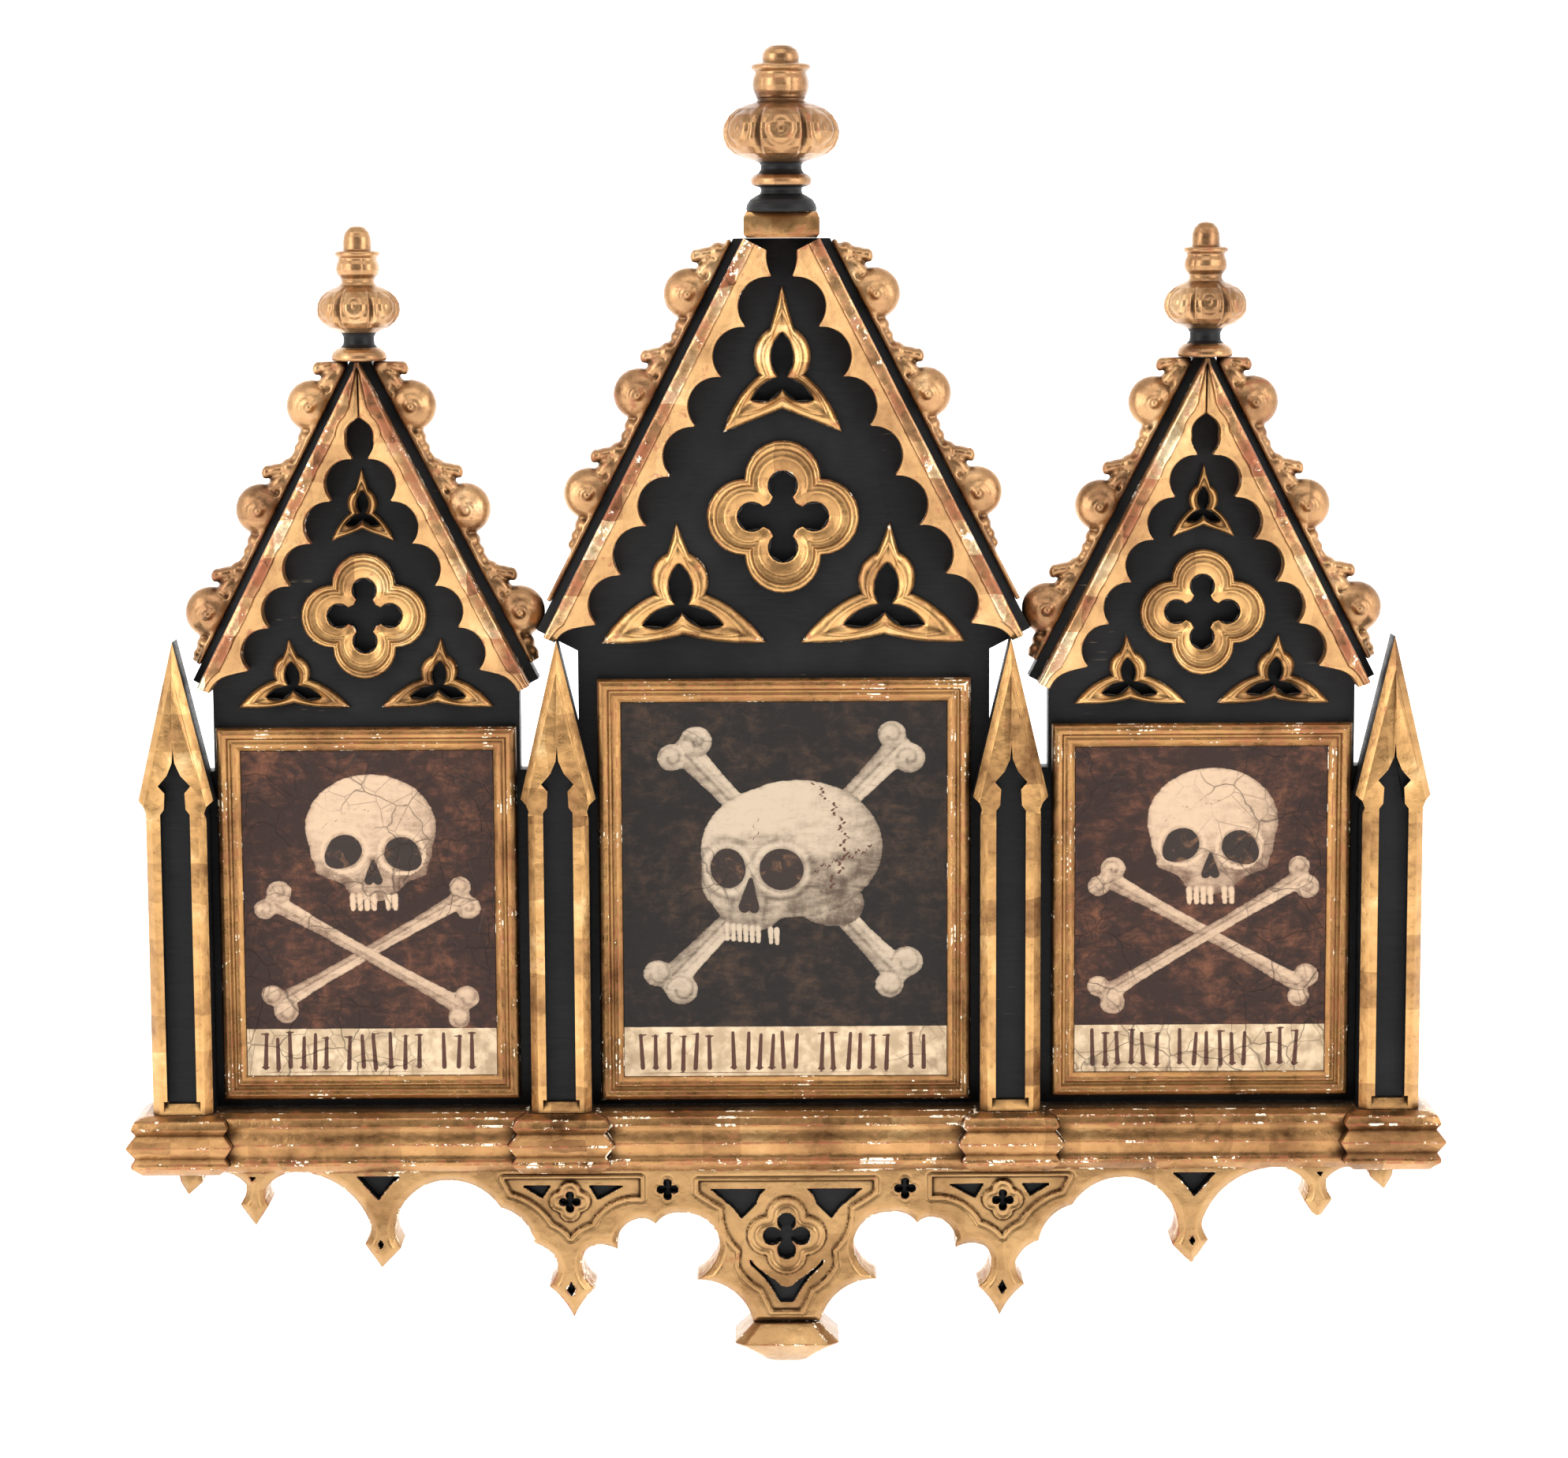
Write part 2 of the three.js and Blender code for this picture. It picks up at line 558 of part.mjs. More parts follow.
// Lower edge from the middle out to the end. Hollows rise into the board.
const APRON_EDGE = hung([
  [26, 121.4], [69.8, 88, 0.18, 4], [51.5, 62.8, 0.12, 3], [80, 35.2, 0.22, 4], [101, 43.8, 0.15, 2],
  [116.5, 40, 0.15, 2], [130.4, 63.6, 0.2, 3], [152, 61.7, 0.12, 2], [158, 74.7, 0.15, 2],
  [148, 94.2, 0.15, 2], [164.6, 117.2, 0.06, 2], [183.9, 92.4, 0.06, 2], [177, 74.7, 0.12, 2],
  [194.8, 58.3, 0.12, 3], [220.6, 30.1, 0.15, 3], [256.1, 8.6, 0.12, 3], [302, 43.4, 0.2, 5],
  [297.7, 61.5, 0.12, 2], [312.8, 77.1], [325.8, 58.2], [321, 43.3, 0.12, 2],
  [377.9, 1.3, 0.16, 4], [402, 14.7, 0.12, 3], [399.5, 27.9, 0.1], [409.5, 43.1],
  [421.2, 26.6], [416.3, 11.1, 0.1], [433, APRON_RAIL, 0.1, 2],
  [448.5, APRON_RAIL], [450, 9], [461, 18.7], [467, 8.2], [468, APRON_RAIL],
  [APRON_DRAWN, APRON_RAIL], [APRON_DRAWN, 0],
]);

// Sunk panels and pockets of the middle pendant, whole and right half
const MIDDLE_PANEL = hung([
  [-68, 8.7], [-68, 17.7], [-49, 29.7, -0.02, 1], [-36, 63.7, -0.12, 3], [-37, 76.7], [-19, 94.7, -0.08, 2],
  [-11, 111.7], [11, 111.7], [19, 94.7], [37, 76.7, -0.08, 2], [36, 63.7], [49, 29.7, -0.12, 3],
  [68, 17.7, -0.02, 1], [68, 8.7],
]);
const SHIELD_POCKET = hung([
  [29, 70.7], [8, 88.7, 0.05, 1], [-8, 88.7, 0.3, 3], [-29, 70.7, 0.05, 1], [-28, 75.7], [-8, 100.7, 0.05, 2],
  [-5, 105.7], [5, 105.7], [8, 100.7], [28, 75.7, 0.05, 2],
]);
const SPANDREL_POCKET = hung([[59, 15.7], [15.5, 15.7], [23, 27.7, 0.1, 2], [35, 39.7], [45, 27.7, 0.05, 2]]);

// Sunk panel of the side pendant, and the pockets from there to the outer end
const SIDE_PANEL = hung([
  [218, 6.2], [112, 6.2], [112, 21.7], [150, 41.7, 0.16, 3], [166.5, 52.7, 0.08, 1], [180, 41.7, 0.08, 1],
  [212, 17.7, 0.1, 3],
]);
const SIDE_POCKETS = [
  hung([[205, 12.2], [181, 12.2], [188, 22.7]]),
  hung([[152.5, 12.2], [124.5, 12.7], [145.5, 24.2]]),
  hung([[331, 3.7], [296.5, 3.7], [314, 23.2, 0.05, 2]]),
  hung([[414, 3.7], [408, 3.7], [411, 7.7]]),
  hung([[166.5, 87.7], [163, 93.7], [166, 99.7], [170, 94.7]]),
  hung([[313, 53.7], [310.5, 57.7], [313, 61.7], [315.5, 57.7]]),
];

// Front edge of the apron's lower outline, set back evenly by the chamfer
function insetOutline(points, width) {
  const count = points.length;
  return points.map((point, i) => {
    const before = points[(i + count - 1) % count];
    const after = points[(i + 1) % count];
    const inA = point.clone().sub(before).normalize();
    const inB = after.clone().sub(point).normalize();
    const normalA = new THREE.Vector2(-inA.y, inA.x);
    const normalB = new THREE.Vector2(-inB.y, inB.x);
    const bisector = normalA.clone().add(normalB).normalize();
    const reach = width / Math.max(0.45, bisector.dot(normalA));
    const set = point.clone().addScaledVector(bisector, reach);
    set.y = Math.min(set.y, APRON_TOP - APRON_RAIL / 2);
    const onTop = Math.abs(point.y - APRON_TOP) < APRON_RAIL / 2;
    return onTop ? point.clone() : set;
  });
}

const MIDDLE_ROSE = { x: 0, depth: 52.4, half: 30, sight: 18.5 };
const SIDE_ROSE = { x: 166.8, depth: 24.8, half: 15.5, sight: 8.5 };
const SMALL_ROSE = { x: 91.5, depth: 15.2, sight: 9 };

const roseHole = ({ x, depth, sight }) => (
  moved(quatrefoil(sight * 0.62, sight * 0.38, sight * 0.3, 2), x * APRON_STRETCH, APRON_TOP - depth)
);
const roseField = ({ x, depth, half }) => (
  moved(quatrefoil(half * 0.5, half * 0.5, half * 0.5, 2), x * APRON_STRETCH, APRON_TOP - depth)
);

// Pierced and pointed board below the base moulding, with sunk panels round raised quatrefoils
function apron() {
  const half = outline(...APRON_EDGE);
  const whole = [...mirrored(half), ...half];
  const front = insetOutline(whole, APRON_CHAMFER);
  const rows = [lift(whole, 0), lift(whole, FRONT_REACH - APRON_CHAMFER), lift(front, FRONT_REACH)];
  const sink = (points, depth) => solid(slab(points, FRONT_REACH - depth, FRONT_REACH + CUT_MARGIN));
  const panel = (legs, rose) => (
    sink(outline(...legs), PANEL_SINK).subtract(sink(roseField(rose), PANEL_SINK + CUT_MARGIN))
  );
  const pocket = (legs) => sink(outline(...legs), APRON_POCKET);
  const onBothSides = [
    panel(SIDE_PANEL, SIDE_ROSE), sink(roseHole(SIDE_ROSE), APRON_POCKET),
    sink(roseHole(SMALL_ROSE), APRON_POCKET), pocket(SPANDREL_POCKET), ...SIDE_POCKETS.map(pocket),
  ];
  const cuts = [
    panel(MIDDLE_PANEL, MIDDLE_ROSE), sink(roseHole(MIDDLE_ROSE), APRON_POCKET), pocket(SHIELD_POCKET),
    ...onBothSides, ...onBothSides.map((body) => body.mirror([1, 0, 0])),
  ];
  return cuts.reduce((body, part) => body.subtract(part), solid(skin(rows)));
}

// Stepped corbel that closes the middle of the apron
function corbel() {
  const rows = CORBEL.map(([half, projection, depth]) => {
    const reach = FRONT_REACH + projection;
    const cut = half * CORBEL_CHAMFER;
    const ring = [
      [half, 0], [half, cut - reach], [half - cut, -reach],
      [cut - half, -reach], [-half, cut - reach], [-half, 0],
    ];
    return ring.map(([x, y]) => new THREE.Vector3(x, y, APRON_TOP - depth));
  });
  return skin(rows, { flatAxes: ['x', 'y'] });
}

function plinth() {
  const rows = PLINTH.map(([half, reach, height]) => {
    const ring = [[half, 0], [half, -reach], [-half, -reach], [-half, 0]];
    return ring.map(([x, y]) => new THREE.Vector3(x, y, CENTRE_GABLE.top + height));
  });
  return skin(rows, { flatAxes: ['x', 'y'] });
}

// Turned finial with hollowed lobes round its bulb, and a flat back in the wall plane
function finial({ base, axis, profile, lobeFrom, lobeTo, lobeDepth, lobes }) {
  const points = profile.map(([radius, height]) => new THREE.Vector2(radius, height));
  const turned = new THREE.LatheGeometry(points, FINIAL_SIDES);
  const place = turned.attributes.position;
  for (let i = 0; i < place.count; i += 1) {
    const height = place.getY(i);
    const inBulb = height > lobeFrom && height < lobeTo;
    const angle = Math.atan2(place.getX(i), place.getZ(i));
    const radius = Math.hypot(place.getX(i), place.getZ(i));
    const rise = Math.sin(HALF_TURN * (height - lobeFrom) / (lobeTo - lobeFrom));
    const carve = inBulb ? lobeDepth * rise * 0.5 * (Math.cos(lobes * angle) - 1) : 0;
    const share = radius > 0 ? (radius + carve) / radius : 1;
    place.setXYZ(i, place.getX(i) * share, height, place.getZ(i) * share);
  }
  turned.rotateX(HALF_TURN / 2);
  turned.translate(0, -axis, base);
  return solid(turned).intersect(roomBefore(base, profile.at(-1)[1]));
}

// Box of the room in front of the wall, round a finial of a given base and height
function roomBefore(base, height) {
  const reach = 2 * FRONT_REACH;
  const box = new THREE.BoxGeometry(2 * reach, reach, height + 2 * CUT_MARGIN);
  box.translate(0, -reach / 2, base + height / 2);
  return solid(box);
}

// One carved lump: an egg shape placed along and out from the rake
function lump([along, out, length, breadth, depth, tilt, sides], reach, place) {
  const egg = new THREE.SphereGeometry(1, sides, Math.ceil(sides / 2) + 1);
  egg.scale(breadth, depth, length);
  egg.rotateY(THREE.MathUtils.degToRad(tilt));
  egg.translate(out, -reach, -along);
  return solid(egg.applyMatrix4(place));
}

// Row of crockets on a strip that lies against the roof edge
function crocketRow(gable, row) {
  const at = gableFrame(gable);
  const [edgeX, edgeZ] = at(0, -(ROOF_EDGE + CLEARANCE));
  const lean = Math.atan2(1, RAKE_SLOPE);
  const place = new THREE.Matrix4().makeRotationY(-lean).setPosition(edgeX, 0, edgeZ);
  const length = rakeLength(gable);
  const end = length - row.end;
  const pitch = (length - row.first - row.last) / (row.count - 1);
  const strip = outline(
    [0, -end], [STRIP_WIDTH, STRIP_WIDTH - end], [STRIP_WIDTH, -row.from], [0, -row.from],
  );
  let body = solid(slab(strip, 0, STRIP_DEPTH).applyMatrix4(place));
  for (let i = 0; i < row.count; i += 1) {
    const along = row.first + i * pitch;
    const shifted = ([offset, ...rest]) => [offset + along, ...rest];
    for (const piece of CROCKET_UNIT) body = body.add(lump(shifted(piece), CROCKET_MID, place));
    body = body.add(lump(shifted(CROCKET_EYE), EYE_REACH, place));
  }
  const span = end - row.from;
  const limit = new THREE.BoxGeometry(4 * STRIP_DEPTH, 4 * STRIP_DEPTH, 2 * span);
  limit.translate(2 * STRIP_DEPTH, -2 * STRIP_DEPTH, -row.from - span / 2);
  const belowTop = new THREE.BoxGeometry(4 * span, 4 * STRIP_DEPTH, 4 * span);
  belowTop.translate(0, 0, gable.top - CLEARANCE - 2 * span);
  return body.intersect(solid(limit.applyMatrix4(place))).intersect(solid(belowTop));
}

const altarpiece = new THREE.Group();
const drawn = new THREE.Group();
drawn.position.z = -HANG_HEIGHT;
altarpiece.add(drawn);

function add(name, geometry, finish, x = 0) {
  const mesh = new THREE.Mesh(geometry, new THREE.MeshStandardMaterial(finish));
  mesh.name = name;
  mesh.position.x = x;
  drawn.add(mesh);
}

// The same shape turned over left to right
function reflected(geometry) {
  return outward(mergeVertices(geometry.clone().scale(-1, 1, 1)));
}

const CENTRE = {
  gable: CENTRE_GABLE, tracery: layOut(CENTRE_GABLE, CENTRE_TRACERY, CENTRE_PICTURE),
  picture: CENTRE_PICTURE, crockets: CENTRE_CROCKETS, turning: CENTRE_FINIAL,
};
const WING = {
  gable: WING_GABLE, tracery: layOut(WING_GABLE, WING_TRACERY, WING_PICTURE),
  picture: WING_PICTURE, crockets: WING_CROCKETS, turning: WING_FINIAL,
};

const middleFoot = INNER_PIER_X - CLEARANCE / 2;
const innerFoot = WING_X - INNER_PIER_X - CLEARANCE / 2;
const outerFoot = OUTER_PIER_X + PIER_HALF - WING_X;
const middleBoard = board(CENTRE_GABLE, CENTRE.tracery, middleFoot, middleFoot);
const wingBoard = board(WING_GABLE, WING.tracery, innerFoot, outerFoot);
add('board_centre', middleBoard, ebonised);
add('board_left', reflected(wingBoard), ebonised, -WING_X);
add('board_right', wingBoard, ebonised, WING_X);

for (const [part, x, panel] of [['centre', 0, CENTRE], ['left', -WING_X, WING], ['right', WING_X, WING]]) {
  const moulding = geometryOf(rake(panel.gable));
  const leaves = geometryOf(crocketRow(panel.gable, panel.crockets));
  add(`rake_${part}_right`, moulding, gold, x);
  add(`rake_${part}_left`, reflected(moulding), gold, x);
  add(`crockets_${part}_right`, leaves, wornGold, x);
  add(`crockets_${part}_left`, reflected(leaves), wornGold, x);
  add(`quatrefoil_${part}`, roseRim(panel.tracery.rose), gold, x);
  for (const shape of panel.tracery.trefoils) {
    add(`trefoil_${part}_${shape.name}`, trefoilRim(shape), gold, x);
  }
  add(`frame_${part}`, frame(panel.picture), gold, x);
  add(`painting_${part}`, painting(panel.picture), oilPaint, x);
  add(`finial_${part}`, geometryOf(finial(panel.turning)), wornGold, x);
}
add('plinth_block', plinth(), gold);

const pier = geometryOf(buttress());
const pierXs = [-OUTER_PIER_X, -INNER_PIER_X, INNER_PIER_X, OUTER_PIER_X];
const blockXs = [-END_BLOCK_X, -INNER_PIER_X, INNER_PIER_X, END_BLOCK_X];
pierXs.forEach((x, i) => add(`buttress_${i + 1}`, pier, gold, x));
blockXs.forEach((x, i) => add(`base_block_${i + 1}`, baseBlock(), gold, x));
for (let i = 0; i < blockXs.length - 1; i += 1) {
  add(`base_run_${i + 1}`, geometryOf(baseRun(blockXs[i], blockXs[i + 1])), gold);
}
add('apron', geometryOf(apron()), gold);
add('corbel', corbel(), gold);

export default altarpiece;
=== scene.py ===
import math

import bmesh
import bpy
import numpy as np
from mathutils import Matrix, Vector


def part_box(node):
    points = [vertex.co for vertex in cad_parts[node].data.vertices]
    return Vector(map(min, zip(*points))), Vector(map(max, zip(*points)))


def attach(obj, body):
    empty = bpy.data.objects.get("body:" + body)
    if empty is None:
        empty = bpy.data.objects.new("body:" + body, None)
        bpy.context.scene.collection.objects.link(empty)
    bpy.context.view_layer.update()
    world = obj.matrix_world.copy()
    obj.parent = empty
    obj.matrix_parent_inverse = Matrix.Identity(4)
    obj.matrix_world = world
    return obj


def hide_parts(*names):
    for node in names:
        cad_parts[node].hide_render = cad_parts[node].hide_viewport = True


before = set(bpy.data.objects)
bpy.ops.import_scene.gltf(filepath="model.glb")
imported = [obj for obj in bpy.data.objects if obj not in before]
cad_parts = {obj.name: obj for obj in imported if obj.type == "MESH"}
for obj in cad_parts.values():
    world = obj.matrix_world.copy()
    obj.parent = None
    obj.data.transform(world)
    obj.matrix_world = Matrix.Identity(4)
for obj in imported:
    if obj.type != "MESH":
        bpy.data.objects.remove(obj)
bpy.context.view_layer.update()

MM = 0.001
# Heights are in mm above the ledge, depths in mm in front of the wall.
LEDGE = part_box("base_run_2")[1].z
BOARD_FRONT = 20.0
PLANTED = BOARD_FRONT + 0.3
FRONT_REACH = 44.0
PIER_REACH = 51.0
WING_X = 319.0
RAKE_SLOPE = 1.95
RAKE_RUN = math.hypot(1, RAKE_SLOPE)
ROOF_EDGE = 7.0
STRIP_CLEARANCE = 0.03
BEDDING = 0.28
SIDES = ((1, "right"), (-1, "left"))


def srgb(red, green, blue):
    """Linear colour from 8-bit screen values."""
    linear = []
    for value in (red, green, blue):
        share = value / 255
        linear.append(share / 12.92 if share <= 0.04045 else ((share + 0.055) / 1.055) ** 2.4)
    return (*linear, 1.0)


# Materials


class Value:
    """What a node gives out, with the usual arithmetic."""

    def __init__(self, nodes, socket):
        self.nodes = nodes
        self.socket = socket

    def __add__(self, other):
        return self.nodes.math("ADD", self, other)

    def __mul__(self, other):
        return self.nodes.math("MULTIPLY", self, other)


class Nodes:
    """Short names for building one node material."""

    def __init__(self, name):
        self.material = bpy.data.materials.new(name)
        self.material.use_nodes = True
        self.tree = self.material.node_tree
        self.shader = self.tree.nodes["Principled BSDF"]
        self.place = self.add("ShaderNodeTexCoord", "Object")

    def feed(self, socket, value):
        if isinstance(value, Value):
            self.tree.links.new(value.socket, socket)
        else:
            socket.default_value = value

    def set(self, name, value):
        self.feed(self.shader.inputs[name], value)

    def add(self, kind, output, settings=None, **inputs):
        """Adds a node and returns one output; its inputs go by name, or by number as i0, i1 and so on."""
        node = self.tree.nodes.new(kind)
        for key, value in (settings or {}).items():
            setattr(node, key, value)
        for key, value in inputs.items():
            self.feed(node.inputs[int(key[1:]) if key[1:].isdigit() else key], value)
        return Value(self, node.outputs[output])

    def stretched(self, scale):
        return self.add("ShaderNodeMapping", 0, Vector=self.place, Scale=scale)

    def noise(self, scale, detail=4.0, rough=0.55, vector=None, distortion=0.0):
        return self.add(
            "ShaderNodeTexNoise", 0, Vector=vector or self.place, Scale=scale, Detail=detail,
            Roughness=rough, Distortion=distortion,
        )

    def wobbled(self, scale, amount):
        """The place, pushed about a little by coloured noise."""
        push = self.add("ShaderNodeTexNoise", 1, Vector=self.place, Scale=scale)
        return self.add(
            "ShaderNodeVectorMath", 0, {"operation": "MULTIPLY_ADD"},
            i0=push, i1=(amount,) * 3, i2=self.place,
        )

    def cells(self, scale, vector):
        """Distance to the nearest edge between random cells."""
        settings = {"feature": "DISTANCE_TO_EDGE"}
        return self.add("ShaderNodeTexVoronoi", 0, settings, Vector=vector, Scale=scale)

    def math(self, operation, a, b):
        return self.add("ShaderNodeMath", 0, {"operation": operation}, i0=a, i1=b)

    def step(self, value, low, high, out_low=0.0, out_high=1.0):
        return self.add(
            "ShaderNodeMapRange", 0, {"interpolation_type": "SMOOTHSTEP"}, i0=value, i1=low, i2=high,
            i3=out_low, i4=out_high,
        )

    def mix(self, factor, a, b):
        return self.add("ShaderNodeMix", 2, {"data_type": "RGBA"}, i0=factor, i6=a, i7=b)

    def attribute(self, name):
        return self.add("ShaderNodeAttribute", "Fac", {"attribute_name": name})

    def bump(self, height, strength, distance, **normal):
        return self.add("ShaderNodeBump", 0, Height=height, Strength=strength, Distance=distance, **normal)


LEAF_PATCH = 0.029
BOLE = srgb(132, 66, 38)
THIN_LEAF = srgb(190, 138, 100)
SOOT_AND_SHADE = srgb(52, 31, 14)
# Dark colour for dirt and for painted shade in the hollows of the gilding.
GESSO = srgb(236, 222, 198)


def gold(name, light, mid, shade, wear=0.5, pink=0.0, gesso=0.5, laps=0.34, grime_and_shade=1.0):
    """Water gilding over bole: leaf laps, rubbed bole, dirt and painted shade in hollows, gesso on the
    edges.
    """
    n = Nodes(name)
    broad = n.noise(20.0, 3.0)
    mottle = n.noise(120.0, 6.0, 0.62)
    fine = n.noise(560.0, 5.0, 0.7)
    patch = n.add(
        "ShaderNodeVectorMath", 0, {"operation": "SNAP"}, i0=n.wobbled(30.0, 0.012), i1=(LEAF_PATCH,) * 3,
    )
    leaf = n.add("ShaderNodeTexWhiteNoise", 0, Vector=patch)
    edge = n.attribute("edge")
    cavity = n.attribute("cavity")
    # Ambient occlusion: where parts shelter the surface, the colour below is darkened, which is painted
    # shade.
    ambient_shade = n.add("ShaderNodeAmbientOcclusion", "AO", {"samples": 6}, Distance=0.014)
    tone = leaf * laps + broad * 0.75 + mottle * 0.35
    middle = 0.56 + laps / 2
    colour = n.mix(n.step(tone, middle - 0.3, middle + 0.12), srgb(*shade), srgb(*mid))
    colour = n.mix(n.step(tone, middle + 0.06, middle + 0.36), colour, srgb(*light))
    rubbed = edge * 0.16 + fine * 0.35 + mottle + n.noise(16.0, 2.0) * 0.4
    bole = n.step(rubbed, 1.12 - 0.2 * wear, 1.3 - 0.2 * wear) * 0.7
    colour = n.mix(bole, colour, BOLE)
    blush = n.step(n.noise(48.0, 4.0, 0.6), 0.56 - 0.2 * pink, 0.82 - 0.2 * pink)
    colour = n.mix(blush * (0.15 + 0.5 * pink), colour, THIN_LEAF)
    # Dirt and painted shade: the colour darkens in hollows and where ambient occlusion is low.
    dirt_and_shade = cavity * 0.8 + ambient_shade * -1.35 + mottle * 0.3 + 1.3
    soot_and_shade = n.step(dirt_and_shade, 0.36, 0.94) * (0.94 * grime_and_shade)
    colour = n.mix(soot_and_shade, colour, SOOT_AND_SHADE)
    chip = edge * 0.3 + n.noise(260.0, 4.0, 0.7) * 0.9 + n.noise(34.0, 3.0, 0.6) * 0.9
    chips = n.step(chip, 1.39 - 0.14 * gesso, 1.42 - 0.14 * gesso)
    n.set("Base Color", n.mix(chips, colour, GESSO))
    bare = n.math("MAXIMUM", chips, bole * 0.6)
    n.set("Metallic", bare * -0.8 + 0.86)
    n.set("Roughness", mottle * 0.3 + bare * 0.3 + soot_and_shade * 0.25 + 0.15)
    n.set("Specular IOR Level", 0.5)
    tooling = n.bump(broad, 0.5, 0.006)
    tooling = n.bump(mottle, 0.35, 0.0014, Normal=tooling)
    n.set("Normal", n.bump(chips * -0.8 + fine, 0.25, 0.0004, Normal=tooling))
    return n.material


def ebony():
    """Black paint with a soft sheen, brushed, with dust and fine scratches."""
    n = Nodes("ebonised")
    brushed = n.noise(60.0, 4.0, vector=n.stretched((1.0, 1.0, 6.0)))
    scratch = n.noise(9.0, 2.0, vector=n.stretched((3.0, 3.0, 160.0)))
    colour = n.mix(n.step(n.noise(14.0, 4.0), 0.35, 0.75), srgb(5, 5, 6), srgb(19, 18, 19))
    rub = n.step(n.attribute("edge") * 0.3 + n.noise(240.0, 4.0, 0.65), 0.74, 0.9)
    colour = n.mix(rub * 0.6, colour, srgb(110, 92, 74))
    lines = n.step(scratch, 0.735, 0.77) * n.step(n.noise(7.0, 2.0), 0.53, 0.66)
    n.set("Base Color", n.mix(lines * 0.75, colour, srgb(196, 172, 138)))
    n.set("Roughness", brushed * 0.3 + 0.34)
    n.set("Specular IOR Level", 0.2)
    n.set("Normal", n.bump(brushed, 0.3, 0.0006))
    return n.material


def bare_wood():
    """Old unpainted softwood on the backs."""
    n = Nodes("bare_wood")
    grain = n.noise(26.0, 6.0, vector=n.stretched((9.0, 9.0, 0.7)), distortion=0.4)
    stain = n.step(n.noise(6.0, 4.0), 0.45, 0.75)
    colour = n.mix(n.step(grain, 0.35, 0.7), srgb(120, 86, 54), srgb(76, 52, 33))
    n.set("Base Color", n.mix(stain * 0.5, colour, srgb(48, 36, 27)))
    n.set("Roughness", grain * 0.2 + 0.65)
    n.set("Normal", n.bump(grain, 0.5, 0.0008))
    return n.material


def oil_paint(name, ground_dark, ground_light, bone_light, bone_shade, craquelure):
    """Old oil painting: the drawing is in mesh attributes, as distances in mm and tones."""
    n = Nodes(name)
    dabs = n.noise(70.0, 7.0, 0.66, distortion=1.0)
    streaks = n.noise(300.0, 3.0, 0.6, vector=n.stretched((1.0, 1.0, 0.45)))
    hatching = n.noise(110.0, 8.0, 0.72, vector=n.stretched((0.55, 1.0, 1.5)), distortion=0.6)
    ragged = hatching * 2.4 + -1.2
    smears = n.noise(22.0, 6.0, 0.7) * 0.7 + hatching * 0.5 + dabs * 0.5
    colour = n.mix(n.step(smears, 0.78, 1.16), srgb(*ground_dark), srgb(*ground_light))
    lit = n.attribute("tone") + hatching * 1.1 + streaks * 0.4 + -0.58
    flesh = n.mix(n.step(lit, 0.1, 1.05), srgb(*bone_shade), srgb(*bone_light))
    colour = n.mix(n.step(n.attribute("bone") + ragged, -0.25, 0.35), colour, flesh)
    socket = n.mix(n.step(dabs, 0.52, 0.7), srgb(42, 32, 28), srgb(98, 70, 50))
    colour = n.mix(n.step(n.attribute("dark") + ragged, -0.3, 0.3), colour, socket)
    paper = n.mix(n.step(n.noise(90.0, 5.0), 0.35, 0.7), srgb(158, 136, 108), srgb(198, 176, 146))
    colour = n.mix(n.step(n.attribute("band") + ragged * 0.4, -0.2, 0.2), colour, paper)
    colour = n.mix(n.step(n.attribute("ink") + ragged * 0.25, -0.15, 0.35), colour, srgb(72, 44, 34))
    region = n.step(n.noise(9.0, 2.0), 0.6 - 0.25 * craquelure, 0.72 - 0.25 * craquelure)
    hairline = n.step(n.cells(46.0, n.place), 0.0, 0.022, 1.0, 0.0)
    crack = n.step(n.cells(24.0, n.wobbled(40.0, 0.02)), 0.0, 0.016, 1.0, 0.0)
    crack = n.math("MAXIMUM", hairline * 0.5, crack) * region
    n.set("Base Color", n.mix(crack * 0.6, colour, srgb(38, 26, 22)))
    n.set("Roughness", dabs * 0.25 + 0.42)
    n.set("Specular IOR Level", 0.22)
    n.set("Normal", n.bump(crack * -2.2 + streaks + hatching, 0.55, 0.0009))
    return n.material


GOLD = gold(
    "gilding", (228, 198, 148), (182, 140, 88), (108, 74, 44), wear=0.6, gesso=0.3, laps=0.2,
)
FRAME_GOLD = gold(
    "frame_gilding", (196, 162, 112), (156, 116, 70), (98, 64, 36), wear=0.8, gesso=0.4, laps=0.08,
)
RAKE_GOLD = gold(
    "rake_gilding", (210, 180, 132), (174, 136, 90), (122, 86, 54), wear=0.7, gesso=0.2, laps=0.14,
)
FILLET_GOLD = gold(
    "fillet_gilding", (244, 224, 182), (188, 146, 100), (128, 84, 58), wear=0.9, laps=0.5, grime_and_shade=0.7,
)
BASE_GOLD = gold(
    "base_gilding", (200, 166, 116), (158, 118, 74), (96, 64, 36), wear=0.8, gesso=0.6, laps=0.18,
)
APRON_GOLD = gold(
    "apron_gilding", (186, 154, 106), (156, 122, 80), (116, 84, 50), pink=0.15, gesso=0.4, laps=0.12,
)
CARVED_GOLD = gold(
    "carved_gilding", (214, 186, 144), (166, 128, 88), (96, 64, 42), wear=0.9, pink=0.3, gesso=0.1,
    laps=0.14,
)
EBONY = ebony()
WOOD = bare_wood()


# Pieces and their meshes


